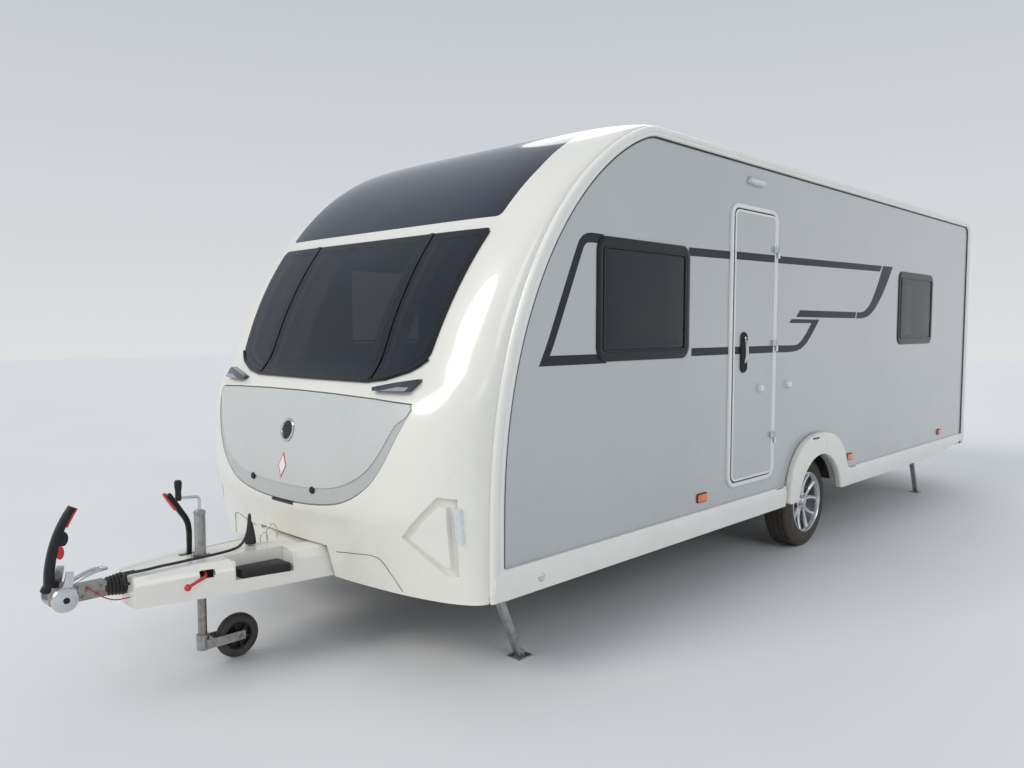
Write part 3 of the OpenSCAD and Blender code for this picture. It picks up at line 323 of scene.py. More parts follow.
def cut(obj, cutter, operation="DIFFERENCE", sharp=32):
    """Cuts obj by cutter, which is used up."""
    change = obj.modifiers.new("cut", "BOOLEAN")
    change.operation, change.solver, change.object = operation, "EXACT", cutter
    bake_modifiers(obj)
    finish = obj.data.materials[0]
    obj.data.polygons.foreach_set("material_index", [0] * len(obj.data.polygons))
    dress(obj, finish)
    bpy.data.objects.remove(cutter)
    tidy(obj, sharp)
    return obj


def soften(obj, width, segments=2, angle=35):
    """Rounds an object's sharp edges."""
    weld = obj.modifiers.new("weld", "WELD")
    weld.merge_threshold = 1e-5
    bevel = obj.modifiers.new("bevel", "BEVEL")
    bevel.width, bevel.segments, bevel.limit_method = width, segments, "ANGLE"
    bevel.angle_limit = math.radians(angle)
    bevel.use_clamp_overlap = True
    normals = obj.modifiers.new("normals", "WEIGHTED_NORMAL")
    normals.keep_sharp = False
    return obj


def cad(node, finish, width=0.0):
    """Gives a carried-over CAD node its finish, and softens its edges."""
    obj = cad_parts[node]
    dress(obj, finish)
    if "custom_normal" in obj.data.attributes:
        obj.data.attributes.remove(obj.data.attributes["custom_normal"])
    obj.data.polygons.foreach_set("use_smooth", [True] * len(obj.data.polygons))
    if width:
        soften(obj, width)
    else:
        weld = obj.modifiers.new("weld", "WELD")
        weld.merge_threshold = 1e-5
        split = obj.modifiers.new("split", "EDGE_SPLIT")
        split.split_angle = math.radians(30)
    return obj


def ring_mesh(rings, closed_ends=True, close_loop=False):
    """Vertices and faces of a tube through rings of equal length."""
    n, m = len(rings), len(rings[0])
    verts = [v for ring in rings for v in ring]
    faces = []
    for i in range(n if close_loop else n - 1):
        k = (i + 1) % n
        faces += [(i * m + j, i * m + (j + 1) % m, k * m + (j + 1) % m, k * m + j) for j in range(m)]
    if closed_ends and not close_loop:
        faces += [tuple(range(m))[::-1], tuple((n - 1) * m + j for j in range(m))]
    return verts, faces


def prism(points, axis, low, high):
    """A straight solid from an outline. axis X takes (y, z) points, axis Y (x, z) and axis Z (x, y)."""
    place = {
        "X": lambda p, h: (h, p[0], p[1]),
        "Y": lambda p, h: (p[0], h, p[1]),
        "Z": lambda p, h: (p[0], p[1], h),
    }[axis]
    return ring_mesh([[place(p, low) for p in points], [place(p, high) for p in points]])


def cutter(verts_faces):
    return piece("cutter", *verts_faces, FRIT, body=None)


def arc(cx, cy, r, start, end, n=8):
    return [(cx + r * math.cos(a), cy + r * math.sin(a))
            for a in (math.radians(start + (end - start) * i / n) for i in range(n + 1))]


def round_rect(x0, z0, x1, z1, r, grow=0.0, n=8):
    x0, z0, x1, z1, r = x0 - grow, z0 - grow, x1 + grow, z1 + grow, max(r + grow, 1e-4)
    return (arc(x1 - r, z1 - r, r, 0, 90, n) + arc(x0 + r, z1 - r, r, 90, 180, n)
            + arc(x0 + r, z0 + r, r, 180, 270, n) + arc(x1 - r, z0 + r, r, 270, 360, n))


def offset(points, d):
    """A closed outline, run anticlockwise, moved outwards by d."""
    p = np.array(points, float)
    before, after = p - np.roll(p, 1, 0), np.roll(p, -1, 0) - p
    before /= np.linalg.norm(before, axis=1)[:, None]
    after /= np.linalg.norm(after, axis=1)[:, None]
    normal = np.stack([before[:, 1] + after[:, 1], -before[:, 0] - after[:, 0]], 1)
    length = np.linalg.norm(normal, axis=1)
    normal /= length[:, None]
    return [tuple(v) for v in p + normal * (d / np.maximum(length / 2, 0.5))[:, None]]


def rect_stack(rect, r, y, steps):
    """A raised shape on a wall at y: a round rectangle repeated at (growth, distance out) steps."""
    return ring_mesh([[(x_at(x), y + out, z) for x, z in round_rect(*rect, r, grow)] for grow, out in steps])


def smooth_path(points, n=8):
    """Catmull-Rom curve through points."""
    p = [np.array(v, float) for v in points]
    made = []
    for i in range(len(p) - 1):
        a, b, c, d = p[max(i - 1, 0)], p[i], p[i + 1], p[min(i + 2, len(p) - 1)]
        for k in range(n):
            t = k / n
            made.append(0.5 * (2 * b + (c - a) * t + (2 * a - 5 * b + 4 * c - d) * t * t
                               + (3 * b - a - 3 * c + d) * t ** 3))
    return made + [p[-1]]


def path_at(x0, points, n=6):
    """A curve through points whose X is given from x0, itself measured from the wheel axle."""
    return smooth_path([(x_at(x0 + x), y, z) for x, y, z in points], n)


def sweep(path, section, side=(0, 1, 0)):
    """Rings of a section, given as (across, up) points, or a function of the share along, on a path."""
    path = [np.array(v, float) for v in path]
    rings = []
    for i, at in enumerate(path):
        along = path[min(i + 1, len(path) - 1)] - path[max(i - 1, 0)]
        along /= np.linalg.norm(along)
        across = np.array(side, float) - along * np.dot(side, along)
        across /= np.linalg.norm(across)
        up = np.cross(along, across)
        shape = section(i / (len(path) - 1)) if callable(section) else section
        rings.append([at + across * u + up * v for u, v in shape])
    return ring_mesh(rings)


def circle(r, n=16):
    return [(r * math.cos(2 * math.pi * k / n), r * math.sin(2 * math.pi * k / n)) for k in range(n)]


def squircle(w, h, power):
    """A section between an ellipse and a rectangle."""
    angles = np.linspace(0, 2 * math.pi, 21)[:-1]
    return [(w * math.copysign(abs(math.cos(a)) ** power, math.cos(a)),
             h * math.copysign(abs(math.sin(a)) ** power, math.sin(a))) for a in angles]


def revolve(profile, centre, axis="Y", n=96, closed=True):
    """Turns (radius, along) points about an axis through centre. A closed profile makes a ring."""
    place = {
        "X": lambda r, h, c, s: (centre[0] + h, centre[1] + r * c, centre[2] + r * s),
        "Y": lambda r, h, c, s: (centre[0] + r * c, centre[1] + h, centre[2] + r * s),
        "Z": lambda r, h, c, s: (centre[0] + r * c, centre[1] + r * s, centre[2] + h),
    }[axis]
    verts = []
    for k in range(n):
        a = 2 * math.pi * k / n
        verts += [place(r, h, math.cos(a), math.sin(a)) for r, h in profile]
    m = len(profile)
    faces = [(i * m + j, ((i + 1) % n) * m + j, ((i + 1) % n) * m + (j + 1) % m, i * m + (j + 1) % m)
             for i in range(n) for j in range(m if closed else m - 1)]
    return verts, faces


def turned(profile, centre, axis, n):
    """A solid of revolution from an open profile whose ends lie on the axis."""
    return revolve(profile, centre, axis, n, closed=False)


def merge(*parts):
    """Joins several (vertices, faces) into one."""
    verts, faces = [], []
    for v, f in parts:
        faces += [tuple(i + len(verts) for i in face) for face in f]
        verts += list(v)
    return verts, faces


def mirrored(part):
    return [(v[0], -v[1], v[2]) for v in part[0]], part[1]


def both(part):
    return merge(part, mirrored(part))


def block(low, high, r=0.0, n=3):
    """A box whose vertical outline has round corners."""
    r = max(r, 1e-4)
    outline = round_rect(low[0], low[1], high[0], high[1], r, n=n)
    return prism(outline, "Z", low[2], high[2])


# ---------------------------------------------------------------- the body's curved skins

NOSE = np.array([
    (FRONT_X, NOSE_H), (FRONT_X, NOSE_H + 0.762 * (ROOF_H - NOSE_H)), (FRONT_X - 0.8185 * NOSE_RUN, ROOF_H),
    (FRONT_X - NOSE_RUN, ROOF_H),
])
# How far the front bows out at its middle, and how square its plan is, along the profile.
BOW = np.array([(-0.40, 0.220), (-0.20, 0.275), (0, 0.340), (0.10, 0.292), (0.125, 0.262), (0.15, 0.198),
                (0.17, 0.165), (0.38, 0.112), (0.70, 0.072), (1.0, ROOF_BOW)])
POWER = np.array([(-0.4, 2), (0, 2.1), (0.17, 6.5), (0.38, 6), (1.0, 3.5)])


def eased(table, t, blur=0.012):
    """The table's value at t, with its corners rounded."""
    steps = np.linspace(-2, 2, 9)
    weights = np.exp(-steps ** 2 / 2)
    return float(np.sum(weights * np.interp(t + steps * blur, table[:, 0], table[:, 1])) / weights.sum())


def nose_row(t):
    """Row of a skin at t along the nose: x, z, normal x, normal z, bow, power."""
    if t < 0:
        x, z, nx, nz = FRONT_X, NOSE_H + t, 1.0, 0.0
    else:
        p = ((1 - t) ** 3 * NOSE[0] + 3 * (1 - t) ** 2 * t * NOSE[1] + 3 * (1 - t) * t * t * NOSE[2]
             + t ** 3 * NOSE[3])
        d = ((1 - t) ** 2 * (NOSE[1] - NOSE[0]) + 2 * (1 - t) * t * (NOSE[2] - NOSE[1])
             + t * t * (NOSE[3] - NOSE[2]))
        d = d / np.linalg.norm(d)
        x, z, nx, nz = p[0], p[1], d[1], -d[0]
    blur = 0.012 if t < 0.97 else 0.0001
    return x, z, nx, nz, eased(BOW, t, blur), eased(POWER, t, blur)


NOSE_START = NOSE_LOW - NOSE_H
NOSE_ROWS = [nose_row(t) for t in np.concatenate([
    np.linspace(NOSE_START, 0, 16)[:-1], np.linspace(0, 0.1, 9)[:-1], np.linspace(0.1, 0.2, 21)[:-1],
    np.linspace(0.2, 1, 44),
])]
ROOF_FRONT, ROOF_REAR = FRONT_X - NOSE_RUN, REAR_X + TAIL_R
ROOF_ROWS = [(x, ROOF_H, 0, 1, ROOF_BOW, 3.5) for x in np.linspace(ROOF_FRONT, ROOF_REAR, 9)]
TAIL_ROWS = [
    (ROOF_REAR + TAIL_R * math.cos(a), ROOF_H - TAIL_R + TAIL_R * math.sin(a), math.cos(a), math.sin(a),
     ROOF_BOW + (REAR_BOW - ROOF_BOW) * (a - math.pi / 2) / (math.pi / 2), 3.5)
    for a in np.linspace(math.pi / 2, math.pi, 19)
] + [(REAR_X, z, -1, 0, REAR_BOW, 3.5) for z in np.linspace(2.3, NOSE_LOW + 0.03, 14)]


def skin_point(row, u, out):
    bulge = row[4] * math.sqrt(max(0, 1 - abs(u) ** row[5])) + out
    return x_at(row[0] + row[2] * bulge), u * (HALF_W + out), row[1] + row[3] * bulge


def skin(rows, outer, inner, across=40):
    """A curved shell between two offsets from the body's outer surface, as vertices and faces."""
    columns = [math.sin(math.pi / 2 * i / across) for i in range(-across, across + 1)]
    n, m = len(rows), len(columns)
    verts = [skin_point(r, u, o) for o in (outer, inner) for r in rows for u in columns]

    def at(s, i, j):
        return s * n * m + i * m + j
    faces = [(at(0, i, j), at(0, i + 1, j), at(0, i + 1, j + 1), at(0, i, j + 1))
             for i in range(n - 1) for j in range(m - 1)]
    faces += [(at(1, i, j), at(1, i, j + 1), at(1, i + 1, j + 1), at(1, i + 1, j))
              for i in range(n - 1) for j in range(m - 1)]
    for i in range(n - 1):
        faces += [(at(0, i, 0), at(1, i, 0), at(1, i + 1, 0), at(0, i + 1, 0)),
                  (at(0, i, m - 1), at(0, i + 1, m - 1), at(1, i + 1, m - 1), at(1, i, m - 1))]
    for j in range(m - 1):
        faces += [(at(0, 0, j), at(0, 0, j + 1), at(1, 0, j + 1), at(1, 0, j)),
                  (at(0, n - 1, j), at(1, n - 1, j), at(1, n - 1, j + 1), at(0, n - 1, j + 1))]
    return verts, faces


def near_rows(rows, low, high):
    """Those nose rows that a height range needs, with one more on each side."""
    keep = [i for i, r in enumerate(rows) if low - 0.09 <= r[1] <= high + 0.05]
    return rows[max(0, min(keep) - 1):max(keep) + 2]


def tail_rows(low, high):
    """Those rows of the upright tail that a height range needs, with one more on each side."""
    keep = [i for i, r in enumerate(TAIL_ROWS) if low - 0.16 <= r[1] <= high + 0.16 and r[2] == -1]
    return TAIL_ROWS[max(0, min(keep) - 1):max(keep) + 2]


def skin_piece(name, rows, outer, inner, finish, outline, holes=(), reach=NOSE_REACH, across=40, sharp=32,
               rounding=None, body="caravan", replaces=()):
    """The part of a skin between two offsets that lies inside an outline of (y, z) points, less its holes."""
    made = piece(name, *skin(rows, outer, inner, across), finish, body=None)
    cut(made, cutter(prism(outline, "X", *reach)), "INTERSECT", sharp)
    for hole in holes:
        cut(made, cutter(prism(hole, "X", reach[0] - 0.1, reach[1] + 0.1)))
    if rounding:
        soften(made, *rounding)
        bake_modifiers(made)
    return mount(made, body, replaces) if body else made


def join(made, other, sharp=32):
    """Adds the other object's mesh to the first, and removes the other."""
    work = bmesh.new()
    work.from_mesh(made.data)
    work.from_mesh(other.data)
    work.to_mesh(made.data)
    work.free()
    bpy.data.objects.remove(other)
    tidy(made, sharp)


def flip(points):
    """An outline on the other side of the middle, still run anticlockwise."""
    return [(-y, z) for y, z in points][::-1]


# ---------------------------------------------------------------- outlines on the front

GLASS_TOP = ROOF_H - 0.565
GLASS_LOW = GLASS_TOP - 0.690
SPLIT = 0.480
CENTRE_PANE = [(-SPLIT, GLASS_LOW + 0.002), (-0.2, GLASS_LOW), (0.2, GLASS_LOW), (SPLIT, GLASS_LOW + 0.002),
               (SPLIT, GLASS_TOP), (-SPLIT, GLASS_TOP)]
CORNER_PANE = [(SPLIT + 0.006, GLASS_LOW + 0.005), (0.600, GLASS_LOW + 0.018), (0.720, GLASS_LOW + 0.055),
               (0.790, GLASS_LOW + 0.095), (0.812, GLASS_LOW + 0.125), (0.872, GLASS_TOP - 0.020),
               (0.852, GLASS_TOP), (SPLIT + 0.006, GLASS_TOP)]
TOP_PANEL = (arc(-0.852, GLASS_TOP + 0.083, 0.028, 180, 270, 5) + arc(0.852, GLASS_TOP + 0.083, 0.028, 270,
                                                                      360, 5)
             + [(0.895, ROOF_H - 0.260), (0.862, ROOF_H + 0.090), (-0.862, ROOF_H + 0.090),
                (-0.895, ROOF_H - 0.260)])
lid_right = [(0.0, 0.712), (0.200, 0.718), (0.390, 0.738), (0.520, 0.775), (0.635, 0.845), (0.710, 0.930),
             (0.770, 1.040), (0.838, 1.185)]
lid_half = [tuple(p[:2]) for p in smooth_path([(y, z, 0) for y, z in lid_right], 4)]
lid_top = [(0.828, 1.207), (0.600, 1.218), (0.300, 1.224)]
LID_OUTLINE = ([(-y, z) for y, z in lid_half[::-1]][:-1] + lid_half + lid_top + [(0.0, 1.226)]
               + [(-y, z) for y, z in lid_top[::-1]])
LIP = 0.075             # width of the band along the lid's lower edge that is painted darker as shade
LID_FIELD = [(y * 0.955, z + LIP * max(0.0, 1 - (z - 0.712) / 0.40)) if z < 1.15 else (y * 0.995, z)
             for y, z in LID_OUTLINE]
LID_HOLE = [(y * 0.956, 0.747 + (z - 0.712) * 0.864) for y, z in LID_OUTLINE]
swage = [(0.800, 0.642), (0.985, 0.488), (1.030, 0.492), (1.045, 0.826), (0.975, 0.832)]
swage_inner = [(0.842, 0.642), (0.985, 0.528), (1.000, 0.530), (1.006, 0.790), (0.978, 0.792)]

# ---------------------------------------------------------------- roof, front and rear


def build_roof():
    roof = piece("roof_skin", *skin(ROOF_ROWS, 0, -WALL), CREAM, body=None)
    for x in (ROOF_FRONT - 0.9, -0.9, -2.3):
        cut(roof, cutter(block((x_at(x) - 0.17, -0.17, 2.4), (x_at(x) + 0.17, 0.17, 2.7))))
    mount(roof, replaces=["roof_panel"])
    cad("roof_lights", WHITE, 0.006)


def build_front():
    shell = piece("front_skin", *skin(NOSE_ROWS, 0, -WALL), CREAM, body=None)
    lid_rows = near_rows(NOSE_ROWS, 0.70, 1.30)
    cut(shell, skin_piece("cutter", lid_rows, 0.04, -0.022, FRIT, offset(LID_OUTLINE, LID_GAP), body=None))
    swage_rows = near_rows(NOSE_ROWS, 0.45, 0.88)
    for outer, inner in ((swage, swage_inner), (flip(swage), flip(swage_inner))):
        cut(shell, skin_piece("cutter", swage_rows, 0.04, -0.014, FRIT, outer, [inner], body=None))
    corner_hole = offset(CORNER_PANE, -0.028)
    for outline, start in ((LID_HOLE, 2.4), (offset(CENTRE_PANE, -0.028), 1.5), (corner_hole, 1.5),
                           (flip(corner_hole), 1.5), (TOP_PANEL, 1.0)):
        cut(shell, cutter(prism(outline, "X", x_at(start), x_at(4.5))))
    cut(shell, cutter(block((x_at(2.4), -0.305, 0.0), (x_at(4.4), 0.305, 0.525))))
    skin_piece("lid_flange", lid_rows, -0.0222, -0.038, CREAM, offset(LID_OUTLINE, 0.045), [LID_HOLE])
    mount(shell, replaces=["front_panel"])
    top = offset(TOP_PANEL, -0.0015)
    heights = [z for _, z in top]
    skin_piece("front_top_skin", near_rows(NOSE_ROWS, min(heights), max(heights)), 0, -WALL, NAVY, top,
               reach=GLASS_REACH, replaces=["front_top_panel"])


def build_front_glass():
    panes = [CENTRE_PANE, CORNER_PANE, flip(CORNER_PANE)]
    inner = [offset(p, -0.030) for p in panes]
    heights = [z for outline in inner for _, z in outline]
    glass_rows = near_rows(NOSE_ROWS, min(heights), max(heights))
    glass, *others = [skin_piece(f"front_glass_{i}", glass_rows, PANE_OUT, FIT, TINT, outline,
                                 reach=GLASS_REACH, body=None) for i, outline in enumerate(inner)]
    for other in others:
        join(glass, other)
    glass.name = "front_glass"
    mount(glass, replaces=["front_windows"])
    border_rows = near_rows(NOSE_ROWS, 1.25, 2.05)
    for i, (outline, hole) in enumerate(zip(panes, inner)):
        skin_piece(f"front_glass_border_{i}", border_rows, PANE_OUT, FIT, FRIT, offset(outline, -0.001),
                   [hole],
                   reach=(x_at(1.5), x_at(4.2)))
    # A rounded sill bead runs along the panes' lower edge, and a slim cover over each split.
    sill = []
    for y in np.linspace(-0.80, 0.80, 41):
        rise = np.interp(abs(y), [0, 0.48, 0.6, 0.72, 0.79, 0.812], [0, 0.002, 0.018, 0.055, 0.095, 0.125])
        sill.append(surface_at(y, rise + GLASS_LOW - 0.004, 0.008))
    piece("front_glass_sill", *sweep(sill, circle(0.009, 10), side=(0.5, 0, 1)), FRIT)
    cover = [(-0.013, -0.003), (0.013, -0.003), (0.011, 0.003), (-0.011, 0.003)]
    for side, tag in ((-1, "l"), (1, "r")):
        line = [surface_at(side * (SPLIT + 0.003), z, 0.009)
                for z in np.linspace(GLASS_LOW + 0.01, GLASS_TOP, 14)]
        piece(f"front_glass_split_{tag}", *sweep(line, cover), FRIT)


def surface_at(y, z, out):
    """The point of the nose's outer surface seen at (y, z) along X, moved out by a distance."""
    u = y / HALF_W
    low, high = NOSE_START, 1.0
    for _ in range(40):
        mid = (low + high) / 2
        if skin_point(nose_row(mid), u, out)[2] < z:
            low = mid
        else:
            high = mid
    return np.array(skin_point(nose_row(low), u, out))


def build_lid():
    heights = [z for _, z in LID_FIELD]
    skin_piece("locker_lid_field", near_rows(NOSE_ROWS, min(heights), max(heights)), 0, -LID_T, LID,
               LID_FIELD,
               reach=GLASS_REACH, sharp=25, body="locker_lid", replaces=["locker_door"])
    # The recessed band round the field takes the darker finish, painted shade.
    skin_piece("locker_lid_lip", near_rows(NOSE_ROWS, 0.70, 1.25), -0.004, -LID_T, LID_LIP_SHADED, LID_OUTLINE,
               [offset(LID_FIELD, 0.0004)], body="locker_lid")
    lock = [(0.0, -0.004), (0.016, -0.004), (0.017, 0.002), (0.013, 0.007), (0.006, 0.008), (0.0, 0.006)]
    for i, y in enumerate((0.27, -0.27)):
        piece(f"lid_lock_{i}", *turned(lock, surface_at(y, 0.787, 0.0), "X", 28), BLACK, body="locker_lid")
    rim = [(0.043, 0.0), (0.056, 0.0), (0.057, 0.004), (0.053, 0.007), (0.047, 0.007), (0.044, 0.004)]
    disc = [(0.0, -0.001), (0.045, -0.001), (0.045, 0.003), (0.03, 0.005), (0.0, 0.006)]
    diamond = [(0, -0.062), (0.036, 0), (0, 0.062), (-0.036, 0)]
    for name, part, z, finish in (
        ("lid_badge_rim", revolve(rim, (0, 0, 0), "X", 48), 1.04, CHROME),
        ("lid_badge_disc", turned(disc, (0, 0, 0), "X", 48), 1.04, BLACK),
        ("lid_sign_rim", prism(offset(diamond, 0.0), "X", -0.003, 0.0012), 0.872, SIGN_RED),
        ("lid_sign", prism(offset(diamond, -0.006), "X", -0.003, 0.002), 0.872, SIGN),
    ):
        piece(name, *tilted(part, surface_at(0, z, 0.0), z), finish, body="locker_lid")
    grip = [surface_at(y, 0.7025 + 0.001 * (y / 0.12) ** 2, -0.004) for y in np.linspace(-0.07, 0.12, 9)]
    section = [(-0.007, -0.006), (0.006, -0.006), (0.006, 0.006), (-0.007, 0.006)]
    piece("lid_grip", *sweep(grip, section, side=(1, 0, 0)), SEAL)


def tilted(part, place, z):
    """A part built facing +X at the origin, set on the nose's surface at height z on the middle line."""
    a, b = surface_at(0, z - 0.03, 0), surface_at(0, z + 0.03, 0)
    up = (b - a) / np.linalg.norm(b - a)
    out = np.cross((0, 1, 0), up)
    turned = [np.array(place) + out * v[0] + np.array((0, 1, 0)) * v[1] + up * v[2] for v in part[0]]
    return turned, part[1]


def build_grab_handles():
    """Wedge handles at the windows' lower corners, and bar handles at the rear."""
    wedge = [(0.572, 1.272), (0.588, 1.257), (0.803, 1.262), (0.828, 1.306), (0.818, 1.314), (0.700, 1.296)]
    streak = [(0.640, 1.2595), (0.797, 1.2645), (0.806, 1.281), (0.735, 1.279)]
    rows = near_rows(NOSE_ROWS, 1.20, 1.35)
    rails = []
    for side, tag in SIDES:
        for name, outline, low, high, edge, finish in (
            ("front_grab", wedge, FIT, 0.026, 0.005, DARK_CHROME),
            ("front_grab_edge", streak, 0.0262, 0.030, 0.0015, CHROME),
        ):
            skin_piece(f"{name}_{tag}", rows, high, low, finish, outline if side > 0 else flip(outline),
                       across=60, rounding=(edge, 2, 40),
                       replaces=["grab_handles"] if name == "front_grab" and side > 0 else ())
        bar = [(-0.030, 0.820), (-0.075, 0.826), (-0.076, 0.850), (-0.074, 0.940), (-0.068, 0.968),
               (-0.020, 0.972)]
        path = path_at(REAR_X, [(x, side * y, 1.01) for x, y in bar])
        rails.append(sweep(path, circle(0.0115, 12), side=(0, 0, 1)))
    piece("rear_grab_handles", *merge(*rails), WHITE)


def build_rear():
    reach = (x_at(REAR_X - 0.4), x_at(REAR_X + 0.4))
    window = round_rect(-0.62, 1.4, 0.62, 2.0, 0.07)
    shell = piece("rear_skin", *skin(TAIL_ROWS, 0, -WALL), CREAM, body=None)
    cut(shell, cutter(prism(offset(window, -0.032), "X", *reach)))
    mount(shell, replaces=["rear_panel"])
    pane, pane_rows = offset(window, -0.04), tail_rows(1.35, 2.05)
    skin_piece("rear_glass", pane_rows, PANE_OUT, FIT, TINT, pane, reach=reach,
               replaces=["rear_window"])
    skin_piece("rear_glass_border", pane_rows, PANE_OUT, FIT, FRIT, window, [pane], reach=reach)
    bumper = round_rect(-1.075, NOSE_LOW + 0.04, 1.075, BUMPER_TOP, 0.04)
    skin_piece("rear_bumper_skin", tail_rows(0.38, 0.70), 0.037, FIT, CREAM, bumper, reach=reach,
               rounding=(0.008, 3, 50), replaces=["rear_bumper"])
    # Lamps: red with an amber and a clear band, in black surrounds.
    lamp_rows = tail_rows(0.6, 1.0)
    for side, tag in SIDES:
        for name, shape, out, finish in (
            ("surround", round_rect(0.83, 0.70, 1.01, 0.90, 0.04), 0.018, BLACK),
            ("red", round_rect(0.84, 0.71, 1.00, 0.89, 0.035), 0.024, RED_LENS),
            ("amber", round_rect(0.86, 0.835, 0.98, 0.870, 0.01), 0.0255, AMBER),
            ("clear", round_rect(0.86, 0.725, 0.98, 0.752, 0.01), 0.0255, CLEAR_LENS),
        ):
            skin_piece(f"tail_lamp_{name}_{tag}", lamp_rows, out, FIT, finish,
                       shape if side > 0 else flip(shape),
                       reach=reach,
                       replaces=["exterior_lights"] if name == "red" and side > 0 else ())
    strip = round_rect(-0.15, ROOF_H - 0.23, 0.15, ROOF_H - 0.20, 0.012)
    skin_piece("high_brake_lamp", tail_rows(2.2, 2.4), 0.016, FIT, RED_LENS, strip, reach=reach)


# ---------------------------------------------------------------- side trim


def profile_stations():
    """Points of the side profile with their inward normals and the trim's width, from nose to tail."""
    made = [((FRONT_X, 0.40), (-1, 0), 0.080), ((FRONT_X, 0.55), (-1, 0), 0.080)]
    for t in np.linspace(0, 1, 60):
        x, z, nx, nz, _, _ = nose_row(t)
        width = np.interp(t, [0, 0.3, 0.6, 0.9, 1], [0.080, 0.076, 0.062, 0.050, 0.050])
        made.append(((x, z), (-nx, -nz), width))
    made += [((x, ROOF_H), (0, -1), 0.050) for x in np.linspace(ROOF_FRONT, ROOF_REAR, 12)[1:-1]]
    for a in np.linspace(math.pi / 2, math.pi, 16):
        made.append(((ROOF_REAR + TAIL_R * math.cos(a), ROOF_H - TAIL_R + TAIL_R * math.sin(a)),
                     (-math.cos(a), -math.sin(a)), 0.050))
    made += [((REAR_X, z), (1, 0), 0.050) for z in (2.0, 1.4, 0.9, 0.40)]
    return made


def band(stations, section):
    """A moulding along the side profile. section holds (share of the width, distance out from the wall)."""
    rings = []
    for (x, z), (nx, nz), width in stations:
        rings.append([(x_at(x + nx * width * s), HALF_W + out, z + nz * width * s) for s, out in section])
    return ring_mesh(rings)


def build_rails():
    stations = profile_stations()
    section = [(0, FIT), (0.0, 0.010), (0.04, 0.016), (0.12, 0.0205), (0.24, 0.0225), (0.50, 0.0215), (0.56,
                                                                                                       0.017),
               (0.62, 0.0165), (0.70, 0.0195), (0.84, 0.0185), (0.95, 0.014), (1.0, 0.008), (1.0, FIT)]
    piece("side_mouldings", *both(band(stations, section)), TRIM, slot="cream_rail",
          replaces=["awning_rails"],
          sharp=50)
    edge = [(1.0, FIT), (1.0, 0.007), (1.10, 0.007), (1.16, 0.004), (1.16, FIT)]
    piece("side_moulding_seals", *both(band(stations, edge)), SEAL)


def build_skirts():
    cad("side_skirts", TRIM, 0.004)
    cad("wheel_arches", CREAM, 0.012)
    # Corner caps at the front ends of the skirts, with a shadow gap behind them.
    x0, x1 = FRONT_X - 0.078, FRONT_X - 0.002
    section = [(FIT, 0.376), (0.016, 0.368), (0.029, 0.455), (0.018, 0.507), (FIT, 0.510)]
    cap = [[(x_at(x), HALF_W + out * share, z) for out, z in section]
           for x, share in ((x0, 1), (x0 + 0.004, 1), (x1 - 0.012, 1), (x1, 0.5))]
    piece("skirt_corner_caps", *both(ring_mesh(cap)), TRIM)
    slots = []
    for x, length in ((-0.62, 0.10), (0.56, 0.09)):
        rect = (x - length / 2, 0.494, x + length / 2, 0.4985)
        slots.append(rect_stack(rect, 0.002, HALF_W, ((0, 0.006), (0, 0.0185))))
    piece("skirt_slots", *both(merge(*slots)), SEAL)
    arch_slot = rect_stack((0.055, 0.776, 0.155, 0.788), 0.005, HALF_W, ((0, 0.03), (0, 0.0506)))
    piece("arch_slots", *both(arch_slot), SEAL)
    port = [(0.0, 0.0), (0.020, 0.0), (0.022, 0.004), (0.019, 0.006), (0.014, 0.004), (0.0, 0.004)]
    piece("skirt_port", *turned(port, (x_at(2.864), HALF_W + 0.018, 0.425), "Y", 28), CHROME)


def decal(outline, y, side):
    """A thin flat shape on a wall, from an outline of (x, z) points."""
    return prism([(x_at(x), z) for x, z in outline], "Y", side * y, side * (y + 0.0005))


def curve(points, n=6):
    return [tuple(p) for p in smooth_path(points, n)]


